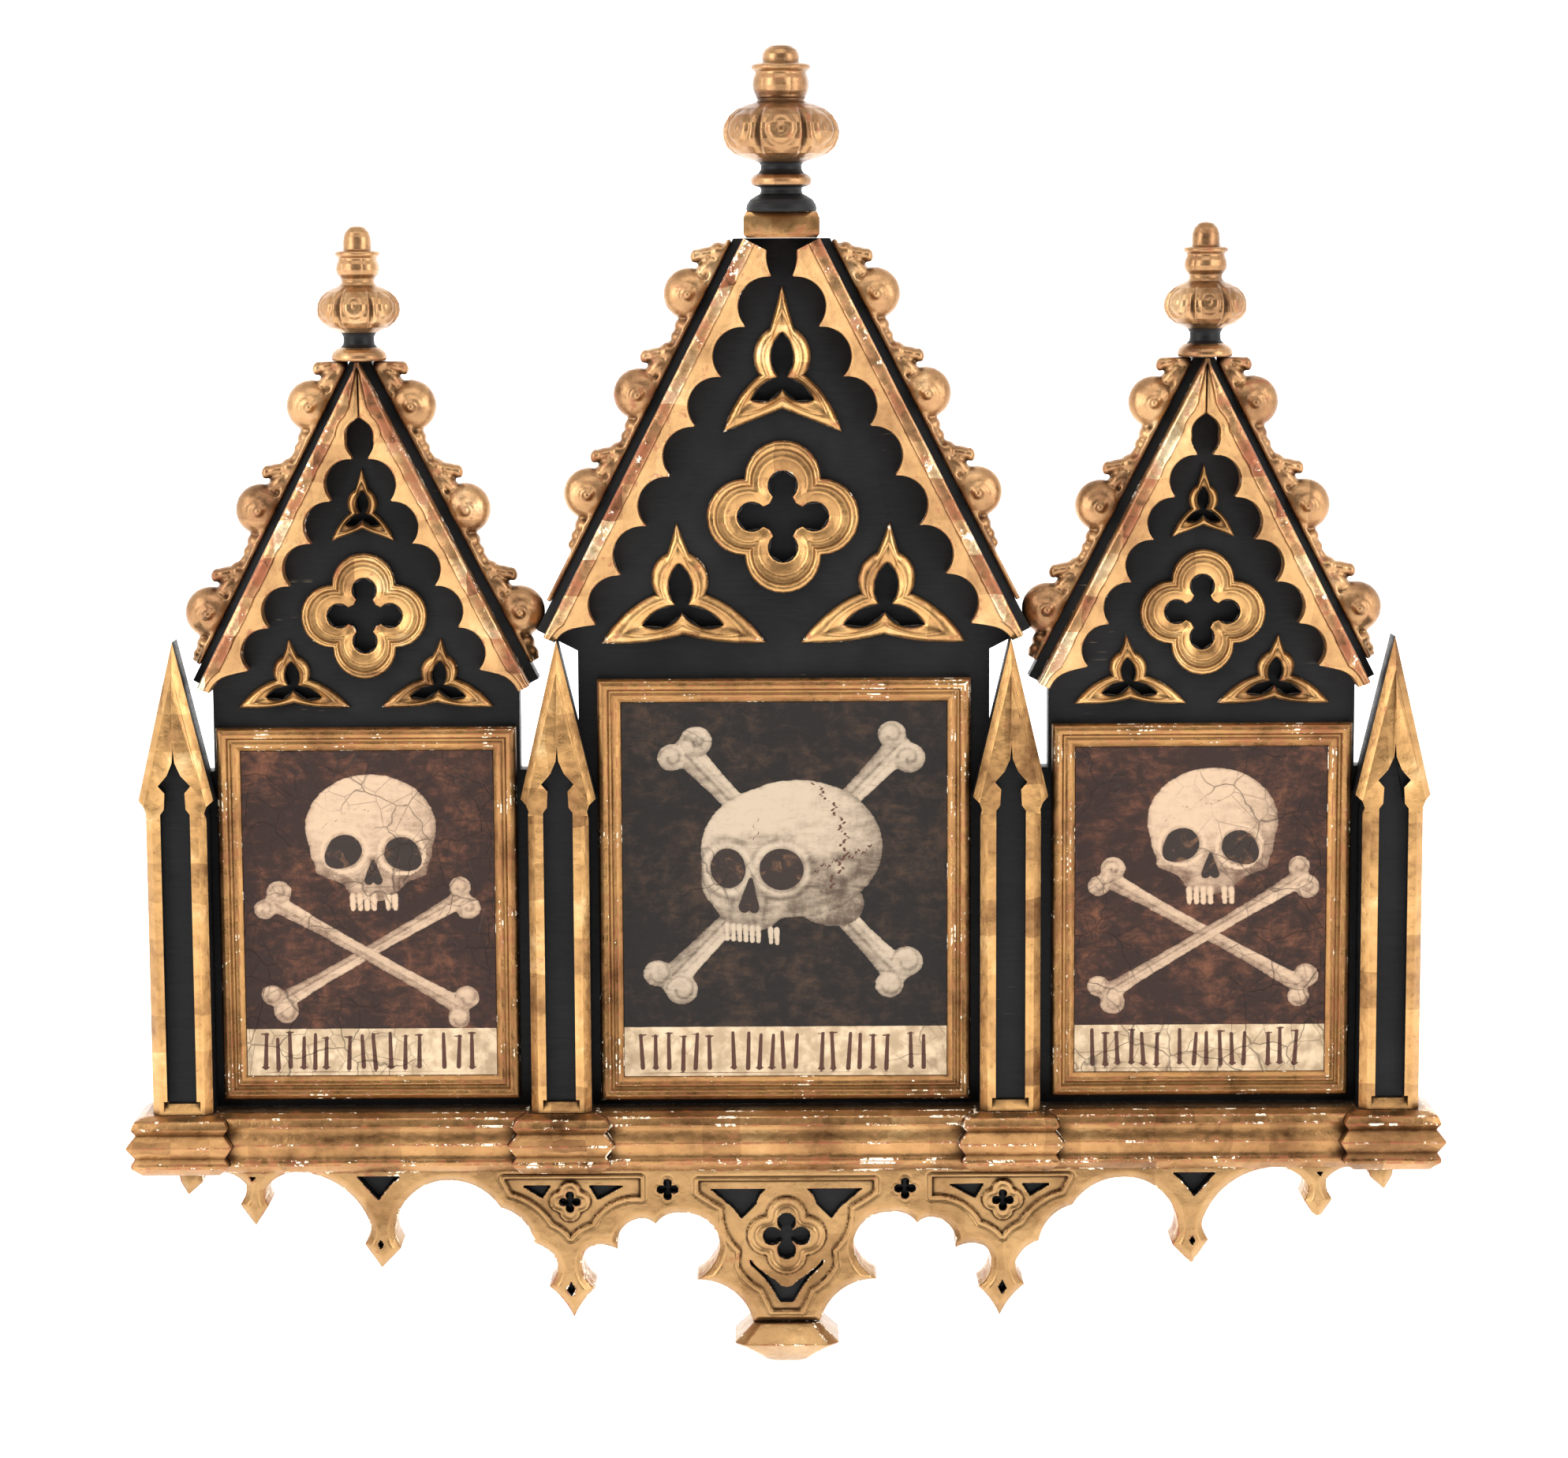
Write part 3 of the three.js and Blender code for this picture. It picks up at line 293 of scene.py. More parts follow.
def finish_piece(piece, node, materials, choose=None, smooth=True):
    """Rides the piece on the body, lets it stand for its node, and picks a material for each face."""
    mesh = piece.data
    count = len(mesh.polygons)
    kept = np.zeros(count, np.int32)
    mesh.polygons.foreach_get("material_index", kept)
    mesh.materials.clear()
    for material in materials:
        mesh.materials.append(material)
    centres = np.empty(count * 3)
    normals = np.empty(count * 3)
    mesh.polygons.foreach_get("center", centres)
    mesh.polygons.foreach_get("normal", normals)
    centres = centres.reshape(-1, 3) / MM
    centres[:, 2] -= LEDGE / MM
    normals = normals.reshape(-1, 3)
    index = kept if choose == "kept" else np.zeros(count, np.int32)
    if callable(choose):
        index = choose(centres, normals).astype(np.int32)
    mesh.polygons.foreach_set("material_index", index)
    mesh.polygons.foreach_set("use_smooth", np.full(count, smooth))
    mesh.update()
    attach(piece, "root")
    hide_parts(node)


def new_piece(name, data):
    """Puts a mesh, light or camera in the scene."""
    piece = bpy.data.objects.new(name, data)
    bpy.context.scene.collection.objects.link(piece)
    return piece


def settled(work, mesh):
    """Writes the work to the mesh, with its faces turned outwards and its larger faces in triangles."""
    bmesh.ops.recalc_face_normals(work, faces=work.faces)
    if work.calc_volume(signed=True) < 0:
        bmesh.ops.reverse_faces(work, faces=work.faces)
    bmesh.ops.triangulate(work, faces=[f for f in work.faces if len(f.verts) > 4])
    work.to_mesh(mesh)
    work.free()
    return mesh


def closed_mesh(name, points, faces):
    """Mesh of one closed body from its points and faces."""
    mesh = bpy.data.meshes.new(name)
    mesh.from_pydata(points.tolist(), [], faces)
    work = bmesh.new()
    work.from_mesh(mesh)
    return settled(work, mesh)


WELD_DISTANCE = 0.02 * MM
FLAT_ANGLE = math.radians(1.5)
SAME_LEVEL = 0.1 * MM


def welded(node):
    """Copy of a node's mesh with merged corners and its flat faces joined."""
    work = bmesh.new()
    work.from_mesh(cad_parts[node].data)
    bmesh.ops.remove_doubles(work, verts=work.verts, dist=WELD_DISTANCE)
    bmesh.ops.dissolve_limit(work, angle_limit=FLAT_ANGLE, verts=work.verts, edges=work.edges)
    return work


def bevelled(node, width, materials, choose=None, sharp=24.0):
    """The node with its sharp edges softly rounded, and those rounds marked as worn edges."""
    work = welded(node)
    layer = work.faces.layers.float.new("edge")
    limit = math.radians(sharp)
    edges = [
        e for e in work.edges
        if len(e.link_faces) == 2 and e.is_convex and e.calc_face_angle(0.0) > limit
    ]
    made = bmesh.ops.bevel(
        work, geom=edges, offset=width * MM, segments=2, profile=0.6, affect="EDGES", clamp_overlap=True,
    )
    for face in made["faces"]:
        face[layer] = 1.0
    bmesh.ops.triangulate(work, faces=[f for f in work.faces if len(f.verts) > 4])
    mesh = bpy.data.meshes.new("carved_" + node)
    work.to_mesh(mesh)
    work.free()
    piece = new_piece("carved_" + node, mesh)
    finish_piece(piece, node, materials, choose, smooth=False)
    shade_by_angle(mesh, 32.0)


def bed_down(node):
    """Lets the piece's lower face settle into the fine gap below it."""
    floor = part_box(node)[0].z
    for vertex in bpy.data.objects["carved_" + node].data.vertices:
        if vertex.co.z < floor + SAME_LEVEL:
            vertex.co.z -= BEDDING * MM


def shade_by_angle(mesh, degrees):
    """Smooth shading, with edges sharper than the angle kept crisp."""
    work = bmesh.new()
    work.from_mesh(mesh)
    limit = math.radians(degrees)
    for face in work.faces:
        face.smooth = True
    for edge in work.edges:
        edge.smooth = len(edge.link_faces) == 2 and edge.calc_face_angle(0.0) < limit
    work.to_mesh(mesh)
    work.free()


def mark_edges_and_hollows(mesh, reach, passes=2):
    """Stores how convex and how hollow the surface is at each point, as edge and cavity."""
    count = len(mesh.vertices)
    points = np.empty(count * 3)
    normals = np.empty(count * 3)
    mesh.vertices.foreach_get("co", points)
    mesh.vertices.foreach_get("normal", normals)
    points, normals = points.reshape(-1, 3), normals.reshape(-1, 3)
    pairs = np.empty(len(mesh.edges) * 2, np.int64)
    mesh.edges.foreach_get("vertices", pairs)
    pairs = pairs.reshape(-1, 2)
    degree = np.bincount(pairs.ravel(), minlength=count).clip(1)

    def neighbours(values):
        total = np.zeros_like(values)
        np.add.at(total, pairs[:, 0], values[pairs[:, 1]])
        np.add.at(total, pairs[:, 1], values[pairs[:, 0]])
        return total / (degree[:, None] if values.ndim > 1 else degree)

    bend = -np.einsum("ij,ij->i", neighbours(points) - points, normals) / reach
    for _ in range(passes):
        bend = 0.5 * bend + 0.5 * neighbours(bend)
    # The edge value later marks wear; the cavity value darkens the gilding as dirt and painted shade.
    for name, values in (("edge", bend), ("cavity", -bend)):
        layer = mesh.attributes.new(name, "FLOAT", "POINT")
        layer.data.foreach_set("value", np.clip(values, 0, 1).astype(np.float32))


SKIN_GRAIN = 1.25 * MM


def remeshed(source, name):
    """One closed skin over the source mesh, rounded as thick gesso rounds carved wood."""
    rough = new_piece(name + "_rough", source)
    remesh = rough.modifiers.new("skin", "REMESH")
    remesh.mode = "VOXEL"
    remesh.voxel_size = SKIN_GRAIN
    soften = rough.modifiers.new("soften", "SMOOTH")
    soften.factor = 0.5
    soften.iterations = 3
    depsgraph = bpy.context.evaluated_depsgraph_get()
    mesh = bpy.data.meshes.new_from_object(rough.evaluated_get(depsgraph))
    mesh.name = name
    bpy.data.objects.remove(rough)
    mark_edges_and_hollows(mesh, 0.45 * MM)
    return new_piece(name, mesh)


def grid_mesh(name, rows, close_rows=False, bend_reach=0.5):
    """Closed skin over rings of points in mm from the ledge; open ends are capped."""
    rings = np.asarray(rows, float)
    count, around = rings.shape[:2]
    points = rings.reshape(-1, 3) * MM + np.array([0, 0, LEDGE])
    faces = []
    for row in range(count if close_rows else count - 1):
        here = row * around
        after = (row + 1) % count * around
        for i in range(around):
            j = (i + 1) % around
            faces.append((here + i, here + j, after + j, after + i))
    if not close_rows:
        faces.append(tuple(range(around))[::-1])
        faces.append(tuple((count - 1) * around + i for i in range(around)))
    mesh = closed_mesh(name, points, faces)
    mark_edges_and_hollows(mesh, bend_reach * MM, 1)
    return mesh


# Raking mouldings


def gable_place(gable):
    """Turns a distance down a gable's right rake, and an inset from its edge, into (x, z)."""
    top = np.array([gable["top_half"], gable["top"]])
    down = np.array([1 / RAKE_RUN, -RAKE_SLOPE / RAKE_RUN])
    inward = np.array([-RAKE_SLOPE / RAKE_RUN, -1 / RAKE_RUN])
    return lambda along, inset: top + down * along + inward * inset


# Each gable: its top and rake length; the first cusp, pitch and number of scallops, with their inset and
# hollow; the first crocket, their spacing, and where their strip starts and ends; the eye under the top,
# as (half width, height of its top, bulge).
GABLES = {
    "centre": {
        "x": 0.0, "top_half": 28.5, "top": 665.0, "length": 336.0,
        "start": 16.4, "pitch": 42.0, "count": 8, "inset": 32.0, "hollow": 15.0,
        "first": 56.0, "spacing": 84.5, "from": 6.0, "to": 312.0, "eye": (8.0, 665.0, 3.6),
    },
    "left": {
        "x": -WING_X, "top_half": 0.0, "top": 574.0, "length": 275.5,
        "start": 67.5, "pitch": 36.0, "count": 6, "inset": 29.0, "hollow": 13.0,
        "first": 47.0, "spacing": 88.0, "from": 8.0, "to": 262.0, "eye": (0.0, 528.0, 8.0),
    },
}
GABLES["right"] = {**GABLES["left"], "x": WING_X}
FILLET = 9.5
LEAST_INSET = 0.4
MITRE_HALF = 0.03
RAKE_STEP = 1.3
FLAT_FRONT = 41.3
FLAT_FALL = 9.0 / 23


def scallop(gable, along):
    """Inset of the scalloped edge at a distance down the rake."""
    start, pitch, count = gable["start"], gable["pitch"], gable["count"]
    hollow, inset = gable["hollow"], gable["inset"]
    last = start + (count - 1) * pitch
    radius = (pitch * pitch / 4 + hollow * hollow) / (2 * hollow)
    if along <= last:
        share = ((along - start) % pitch) / pitch - 0.5
        rise = math.sqrt(max(0.0, radius * radius - (share * pitch) ** 2)) - (radius - hollow)
        return inset - rise
    width = gable["length"] - last
    share = (along - last) / width
    straight = inset + (FILLET - inset) * share
    bow = 0.3 * math.hypot(width, inset - FILLET) * math.sin(math.pi * share)
    return max(FILLET * 0.9, straight - bow * 0.6)


def inner_edge(gable, at, along):
    """Inset of a rake's inner edge, which follows the scallops, the eye and the mitre."""
    eye_half, eye_top, eye_bulge = gable["eye"]
    cusp_x, cusp_z = at(gable["start"], gable["inset"])
    outer_x = at(along, 0)[0]
    inner = scallop(gable, along) if along >= gable["start"] else gable["inset"]
    for _ in range(4):
        x, z = at(along, inner)
        limit = MITRE_HALF
        if z < eye_top:
            share = min(1.0, max(0.0, (z - cusp_z) / (eye_top - cusp_z)))
            limit = cusp_x + (eye_half - cusp_x) * share + eye_bulge * math.sin(math.pi * share)
        if z > cusp_z and x < limit:
            inner = max(LEAST_INSET, (outer_x - limit) * RAKE_RUN / RAKE_SLOPE)
    mitre = outer_x * RAKE_RUN / RAKE_SLOPE
    return max(LEAST_INSET, min(inner, mitre - 0.02))


def rake_section(inner, wave):
    """Section of a rake as (inset, depth): a proud fillet, then a flat that falls to the inner edge."""
    fillet = min(FILLET, inner * 0.55)
    section = [
        (0, PLANTED), (0, 42.2), (0.5, 43.2), (1.4, 43.8 + wave * 0.4), (fillet - 1.6, 43.9 + wave),
        (fillet - 0.6, 43.5), (fillet, 42.6), (fillet + 0.3, 41.4),
    ]
    flat = max(inner - fillet - 0.6, 0.1)
    for share in (0.1, 0.35, 0.6, 0.82):
        dip = 0.5 * math.sin(math.pi * share)
        section.append((fillet + 0.3 + flat * share, FLAT_FRONT - FLAT_FALL * share * flat - dip))
    front = FLAT_FRONT - FLAT_FALL * flat
    section += [(inner - 0.5, front - 0.4), (inner, front - 1.4), (inner, PLANTED)]
    return [(min(inset, inner) if inset > fillet else inset, reach) for inset, reach in section]


def rake_mesh(part, side, name):
    """Skin of one rake: its section, swept down the gable's edge."""
    gable = GABLES[part]
    at = gable_place(gable)
    rows = []
    for along in [*np.arange(0.25, gable["length"], RAKE_STEP), gable["length"]]:
        wave = 0.25 * math.sin(along * 0.11 + gable["x"]) + 0.18 * math.sin(along * 0.31)
        points = []
        for inset, reach in rake_section(inner_edge(gable, at, along), wave):
            x, z = at(along, inset)
            points.append((gable["x"] + side * max(x, MITRE_HALF), -reach, min(z, gable["top"])))
        rows.append(points)
    return grid_mesh(name, rows)


def on_the_back(centres, normals, depth=1.5):
    return (normals[:, 1] > 0.8) & (centres[:, 1] > -depth)


def ebony_sides(depth):
    """Chooses gold on the face, ebony further back than a depth, and bare wood on the back."""
    def choose(centres, normals):
        index = np.where(centres[:, 1] > -depth, 1, 0)
        index[on_the_back(centres, normals)] = 2
        return index
    return choose


def rake_faces(centres, normals):
    return np.where(centres[:, 1] > -24, 1, np.where(centres[:, 1] < -41.6, 3, 0))


for part in GABLES:
    for side, label in SIDES:
        node = f"rake_{part}_{label}"
        rake = new_piece("carved_" + node, rake_mesh(part, side, node + "_skin"))
        finish_piece(rake, node, [RAKE_GOLD, EBONY, WOOD, FILLET_GOLD], rake_faces)
        shade_by_angle(rake.data, 40.0)


# Quatrefoil and trefoil rims


def quatrefoil(lobe_centre, lobe_radius, notch, steps=14):
    """Outline of four lobes, with a point between each two."""
    sweep = math.atan2(notch, notch - lobe_centre) * 0.97
    points = []
    for lobe in range(4):
        turn = Matrix.Rotation(lobe * math.pi / 2, 2)
        for step in range(steps + 1):
            angle = sweep * (2 * step / steps - 1)
            local = Vector((lobe_centre + lobe_radius * math.cos(angle), lobe_radius * math.sin(angle)))
            points.append(turn @ local)
        points.append(turn @ Vector((notch, notch)))
    return np.array([tuple(p) for p in points])


ROSE_PROFILE = [
    (0.0, 0.3), (0.0, 3.2), (0.01, 5.4), (0.05, 7.0), (0.1, 7.7), (0.16, 7.9), (0.22, 7.5),
    (0.27, 6.6), (0.31, 5.4), (0.34, 4.6), (0.4, 4.4), (0.48, 4.2), (0.53, 4.5), (0.58, 4.2),
    (0.64, 3.2), (0.8, 1.9), (0.92, 1.2), (0.99, 0.8), (1.0, 0.3),
]


# Outer and inner edge of a rose as shares of its half width: lobe centre, lobe radius and notch.
ROSE_OUTSIDE = np.array([0.5, 0.5, 0.5])
ROSE_SIGHT = np.array([0.407, 0.197, 0.172])


def rose_rows(half, centre_x, centre_z):
    rows = []
    for share, rise in ROSE_PROFILE:
        ring = quatrefoil(*(half * (ROSE_OUTSIDE + (ROSE_SIGHT - ROSE_OUTSIDE) * share)))
        rows.append([(centre_x + x, -(BOARD_FRONT + rise), centre_z + z) for x, z in ring])
    return rows


def arc_path(start, *legs):
    """Points along legs (x, z, bow, steps); bow is the rise as a share of the chord, left positive."""
    points = [np.array(start, float)]
    for x, z, bow, steps in legs:
        first = points[-1]
        chord = np.array([x, z], float) - first
        left = np.array([-chord[1], chord[0]])
        for step in range(1, steps + 1):
            share = step / steps
            rise = 0.0
            if bow:
                radius = (0.25 + bow * bow) / (2 * abs(bow))
                rise = math.copysign(math.sqrt(radius**2 - (share - 0.5) ** 2) - (radius - abs(bow)), bow)
            points.append(first + chord * share + left * rise)
    return points


# Right halves of trefoils as shares of half width and height: a start, then legs (x, z, bow, steps).
ARCHED = {
    "rim": [
        (0.0, 1.0), (0.2, 0.71, 0.0, 5), (0.39, 0.39, 0.22, 11), (1.0, 0.0, 0.08, 10), (0.0, 0.16, 0.0, 10),
    ],
    "opening": [(0.0, 0.68), (0.075, 0.375, 0.2, 16), (0.53, 0.22, 0.12, 10), (0.0, 0.295, 0.2, 10)],
}
SPREAD = {
    "rim": [
        (0.0, 1.0), (0.13, 0.75, 0.0, 5), (0.305, 0.41, 0.22, 11), (1.0, 0.0, 0.08, 10),
        (0.0, 0.065, 0.04, 10),
    ],
    "opening": [(0.0, 0.66), (0.075, 0.315, 0.2, 16), (0.49, 0.147, 0.12, 10), (0.0, 0.248, 0.2, 10)],
}


def trefoil_outline(half, height, lean, legs):
    start, *legs = [(x * half, z * height, *curve) for x, z, *curve in legs]
    path = arc_path(start, *legs)
    whole = path + [np.array([-p[0], p[1]]) for p in reversed(path[1:-1])]
    return np.array([(p[0] + lean * p[1] / height, p[1]) for p in whole])


TREFOIL_PROFILE = [
    (0.0, 0.3), (0.02, 2.6), (0.1, 4.2), (0.22, 5.4), (0.36, 6.3), (0.45, 6.5), (0.53, 6.2), (0.62, 4.9),
    (0.74, 4.0), (0.88, 3.2), (0.98, 2.0), (1.0, 0.3),
]


def trefoil_rows(x, base, half, height, lean, form):
    outside = trefoil_outline(half, height, lean, form["rim"])
    inside = trefoil_outline(half, height, lean, form["opening"])
    rows = []
    for share, rise in TREFOIL_PROFILE:
        ring = outside + (inside - outside) * share
        rows.append([(x + px, -(BOARD_FRONT + rise), base + pz) for px, pz in ring])
    return rows


# Each trefoil: x from the middle of its gable, base height, half width, height, lean and form.
TREFOILS = {
    "centre": {
        "top": (0.0, 519.0, 45.0, 111.0, 0.0, ARCHED),
        "left": (-76.0, 359.0, 63.0, 92.0, -5.0, SPREAD),
        "right": (76.0, 359.0, 63.0, 92.0, 5.0, SPREAD),
    },
    "left": {
        "top": (0.0, 438.0, 24.0, 56.0, 0.0, ARCHED),
        "left": (-54.5, 311.0, 43.0, 53.0, -3.5, SPREAD),
        "right": (54.5, 311.0, 43.0, 53.0, 3.5, SPREAD),
    },
}
TREFOILS["right"] = TREFOILS["left"]
# Each rose: half width and height of its middle.
ROSES = {"centre": (58.0, 455.0), "left": (48.0, 381.0), "right": (48.0, 381.0)}


def planted_rim(node, rows):
    rim = new_piece("carved_" + node, grid_mesh(node + "_skin", rows, close_rows=True))
    finish_piece(rim, node, [GOLD])


for part, gable in GABLES.items():
    half, height = ROSES[part]
    planted_rim(f"quatrefoil_{part}", rose_rows(half, gable["x"], height))
    for name, (x, *shape) in TREFOILS[part].items():
        planted_rim(f"trefoil_{part}_{name}", trefoil_rows(gable["x"] + x, *shape))


# Boards, frames, base and buttresses


for part in GABLES:
    bevelled(f"board_{part}", 0.3, [EBONY, WOOD], on_the_back)
    bevelled(f"frame_{part}", 0.6, [FRAME_GOLD], sharp=14.0)

for node in [f"base_run_{i}" for i in range(1, 4)] + [f"base_block_{i}" for i in range(1, 5)]:
    bevelled(node, 1.1, [BASE_GOLD, EBONY, WOOD], ebony_sides(1.5), sharp=14.0)
bevelled("plinth_block", 0.35, [BASE_GOLD, EBONY, WOOD], ebony_sides(1.5))
bed_down("plinth_block")
bevelled("corbel", 1.0, [APRON_GOLD, EBONY, WOOD], ebony_sides(6.0))

CHANNEL_HALF = 12.6
CHANNEL_FOOT = 8.3
CHANNEL_TOP = 285
SILL_TOP = 14
PIER_GILT = 5.4


def pier_faces(node):
    """Chooses ebony for a buttress's sides and channel, but not for the sill of the channel."""
    low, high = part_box(node)
    middle = (low.x + high.x) / 2 / MM

    def choose(centres, normals):
        x, y, z = np.abs(centres[:, 0] - middle), centres[:, 1], centres[:, 2]
        within = x < CHANNEL_HALF
        sides = y > -(PIER_REACH - PIER_GILT)
        channel = within & (y > -(PIER_REACH - 0.4)) & (z > CHANNEL_FOOT) & (z < CHANNEL_TOP)
        sill = within & (z < SILL_TOP) & (normals[:, 2] > 0.3)
        return np.where((sides | channel) & ~sill, 1, 0)
    return choose


for i in range(1, 5):
    node = f"buttress_{i}"
    bevelled(node, 0.8, [GOLD, EBONY], pier_faces(node), sharp=12.0)


# Apron: depths below its top edge, for the right half


ARC_POINTS = 5


def drawn(start, *corners):
    """Outline from corners (x, z) and arcs (x, z, bow, fineness)."""
    legs = []
    for x, z, *arc in corners:
        bow, fineness = [*arc, 1][:2] if arc else (0.0, 1)
        legs.append((x, z, bow, fineness * ARC_POINTS if arc else 1))
    return np.array(arc_path(start, *legs))


def polygon_distance(points, polygon):
    """Distance in mm from each point to a closed outline, positive inside."""
    best = np.full(len(points), 1e9)
    inside = np.zeros(len(points), bool)
    for start, end in zip(polygon, np.roll(polygon, -1, axis=0)):
        way = end - start
        square = way @ way
        if square < 1e-12:
            continue
        rel = points - start
        share = np.clip((rel @ way) / square, 0, 1)
        best = np.minimum(best, np.hypot(rel[:, 0] - share * way[0], rel[:, 1] - share * way[1]))
        if way[1] != 0:
            crosses = (start[1] > points[:, 1]) != (end[1] > points[:, 1])
            inside ^= crosses & (points[:, 0] < start[0] + (points[:, 1] - start[1]) * way[0] / way[1])
    return np.where(inside, best, -best)


APRON_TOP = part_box("apron")[1].z / MM - LEDGE / MM
APRON_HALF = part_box("apron")[1].x / MM
APRON_DROP = 122.5
APRON_GRID = 0.9
HAIR = 1e-6
CHAMFER = 5.0
PANEL_DEPTH = 3.0
POCKET_DEPTH = 9.0
HALF_EDGE = drawn(
    (26, -121.4), (69.8, -88, 0.18, 4), (51.5, -62.8, 0.12, 3), (80, -35.2, 0.22, 4), (101, -43.8, 0.15, 2),
    (116.5, -40, 0.15, 2), (130.4, -63.6, 0.2, 3), (152, -61.7, 0.12, 2), (158, -74.7, 0.15, 2),
    (148, -94.2, 0.15, 2), (164.6, -117.2, 0.06, 2), (183.9, -92.4, 0.06, 2), (177, -74.7, 0.12, 2),
    (194.8, -58.3, 0.12, 3), (220.6, -30.1, 0.15, 3), (256.1, -8.6, 0.12, 3), (302, -43.4, 0.2, 5),
    (297.7, -61.5, 0.12, 2), (312.8, -77.1), (325.8, -58.2), (321, -43.3, 0.12, 2),
    (377.9, -1.3, 0.16, 4), (402, -14.7, 0.12, 3), (399.5, -27.9, 0.1), (409.5, -43.1),
    (421.2, -26.6), (416.3, -11.1, 0.1), (433, -1.2, 0.1, 2), (448.5, -1.2), (450, -9), (461, -18.7),
    (467, -8.2), (468, -1.2), (478, -1.2), (478, 0),
)
MIDDLE_PANEL = drawn(
    (-68, -8.7), (-68, -17.7), (-49, -29.7, -0.02, 1), (-36, -63.7, -0.12, 3), (-37, -76.7),
    (-19, -94.7, -0.08, 2),
    (-11, -111.7), (11, -111.7), (19, -94.7), (37, -76.7, -0.08, 2), (36, -63.7), (49, -29.7, -0.12, 3),
    (68, -17.7, -0.02, 1), (68, -8.7),
)
SHIELD = drawn(
    (29, -70.7), (8, -88.7, 0.05, 1), (-8, -88.7, 0.3, 3), (-29, -70.7, 0.05, 1), (-28, -75.7),
    (-8, -100.7, 0.05, 2),
    (-5, -105.7), (5, -105.7), (8, -100.7), (28, -75.7, 0.05, 2),
)
SIDE_PANEL = drawn(
    (218, -6.2), (112, -6.2), (112, -21.7), (150, -41.7, 0.16, 3), (166.5, -52.7, 0.08, 1),
    (180, -41.7, 0.08, 1),
    (212, -17.7, 0.1, 3),
)
POCKETS = [
    SHIELD,
    drawn((59, -15.7), (15.5, -15.7), (23, -27.7, 0.1, 2), (35, -39.7), (45, -27.7, 0.05, 2)),
    drawn((205, -12.2), (181, -12.2), (188, -22.7)),
    drawn((152.5, -12.2), (124.5, -12.7), (145.5, -24.2)),
    drawn((331, -3.7), (296.5, -3.7), (314, -23.2, 0.05, 2)),
    drawn((414, -3.7), (408, -3.7), (411, -7.7)),
    drawn((166.5, -87.7), (163, -93.7), (166, -99.7), (170, -94.7)),
    drawn((313, -53.7), (310.5, -57.7), (313, -61.7), (315.5, -57.7)),
]


# Each rose: x and depth of its middle, half width of its hole, half width of its field, and groove.
ROSE_FIELDS = []
for x, depth, hole, field, groove in (
    (0, 52.4, 18.5, 30, 5.0), (166.8, 24.8, 8.5, 15.5, 3.0), (91.5, 15.2, 8.5, 12.5, 1.6),
):
    POCKETS.append(quatrefoil(hole * 0.6, hole * 0.4, hole * 0.24, 12) + [x, -depth])
    outline = quatrefoil(field * 0.5, field * 0.5, field * 0.5, 12) + [x, -depth]
    ROSE_FIELDS.append((outline, groove))


def near(points, outlines, margin=8.0):
    """Greatest signed distance to any of the outlines, computed only close to them."""
    best = np.full(len(points), -margin)
    for outline in outlines:
        low, high = outline.min(0) - margin, outline.max(0) + margin
        close = np.flatnonzero(((points >= low) & (points <= high)).all(1))
        best[close] = np.maximum(best[close], polygon_distance(points[close], outline))
    return best


def apron_depth(across, up, body, panel, sunk, pocket):
    """Depth in mm behind the apron's front at each grid point."""
    soft = 0.4
    depth = soft * np.log1p(np.exp(np.clip((CHAMFER - np.maximum(body, 0)) / soft, -30, 30)))
    depth = depth + PANEL_DEPTH * np.clip(sunk / 0.9, 0, 1)
    depth = depth + 0.9 * np.exp(-((panel + 3.4) / 0.8) ** 2)
    points = np.stack([across.ravel(), up.ravel() + HAIR], -1)
    for outline, groove in ROSE_FIELDS:
        ring = near(points, [outline]).reshape(across.shape)
        depth = depth + 0.28 * groove * np.exp(-(((ring - groove) / (0.3 * groove)) ** 2))
    depth = depth + 0.18 * np.sin(across * 0.09) * np.sin(up * 0.13 + 1)
    return np.where(pocket > 0, POCKET_DEPTH, depth).clip(0, POCKET_DEPTH)


def apron_relief():
    """Right half of the apron's front on a grid: its points, which are in it, and which are black."""
    g = APRON_GRID
    xs = np.arange(int(APRON_HALF / g) + 3) * g
    zs = np.arange(int(APRON_DROP / g) + 2) * -g
    across, up = np.meshgrid(xs, zs)
    across[:, -1] = APRON_HALF + g
    points = np.stack([across.ravel(), up.ravel() + HAIR], -1)
    px, pz = across.copy(), up.copy()

    def settle_on(line, reach, free):
        """Moves the free grid points that are close to a line onto it."""
        dz, dx = np.gradient(line, zs, xs)
        length = np.hypot(dx, dz).clip(1e-6)
        close = (np.abs(line) < reach * g) & free
        px[close] -= (line * dx / length)[close]
        pz[close] -= (line * dz / length)[close]
        return close

    whole = np.vstack([(HALF_EDGE * [-1, 1])[::-1], HALF_EDGE])
    edge = polygon_distance(points, whole).reshape(across.shape)
    edge[0] = np.where(across[0] <= APRON_HALF, np.maximum(edge[0], 0), edge[0])
    taller = np.vstack([whole[:-1], [APRON_HALF, 40.0], [-APRON_HALF, 40.0]])
    body = polygon_distance(points, taller).reshape(across.shape)
    on_edge = settle_on(edge, 0.62, up < -0.5 * g)
    edge[on_edge] = 0.0
    px[:, 0] = 0.0
    pocket = near(points, POCKETS).reshape(across.shape)
    on_pocket = settle_on(pocket, 0.5, ~on_edge)
    pocket[on_pocket] = 0.0
    panel = near(points, [MIDDLE_PANEL, SIDE_PANEL]).reshape(across.shape)
    rose = near(points, [outline for outline, _ in ROSE_FIELDS]).reshape(across.shape)
    sunk = np.minimum(panel, -rose)
    settle_on(sunk, 0.45, ~on_edge & ~on_pocket)
    depth = apron_depth(across, up, body, panel, sunk, pocket)
    inside = (edge >= -1e-9) & (px <= APRON_HALF + HAIR)
    return np.stack([px, depth - FRONT_REACH, pz + APRON_TOP], -1), inside, pocket > 0.02


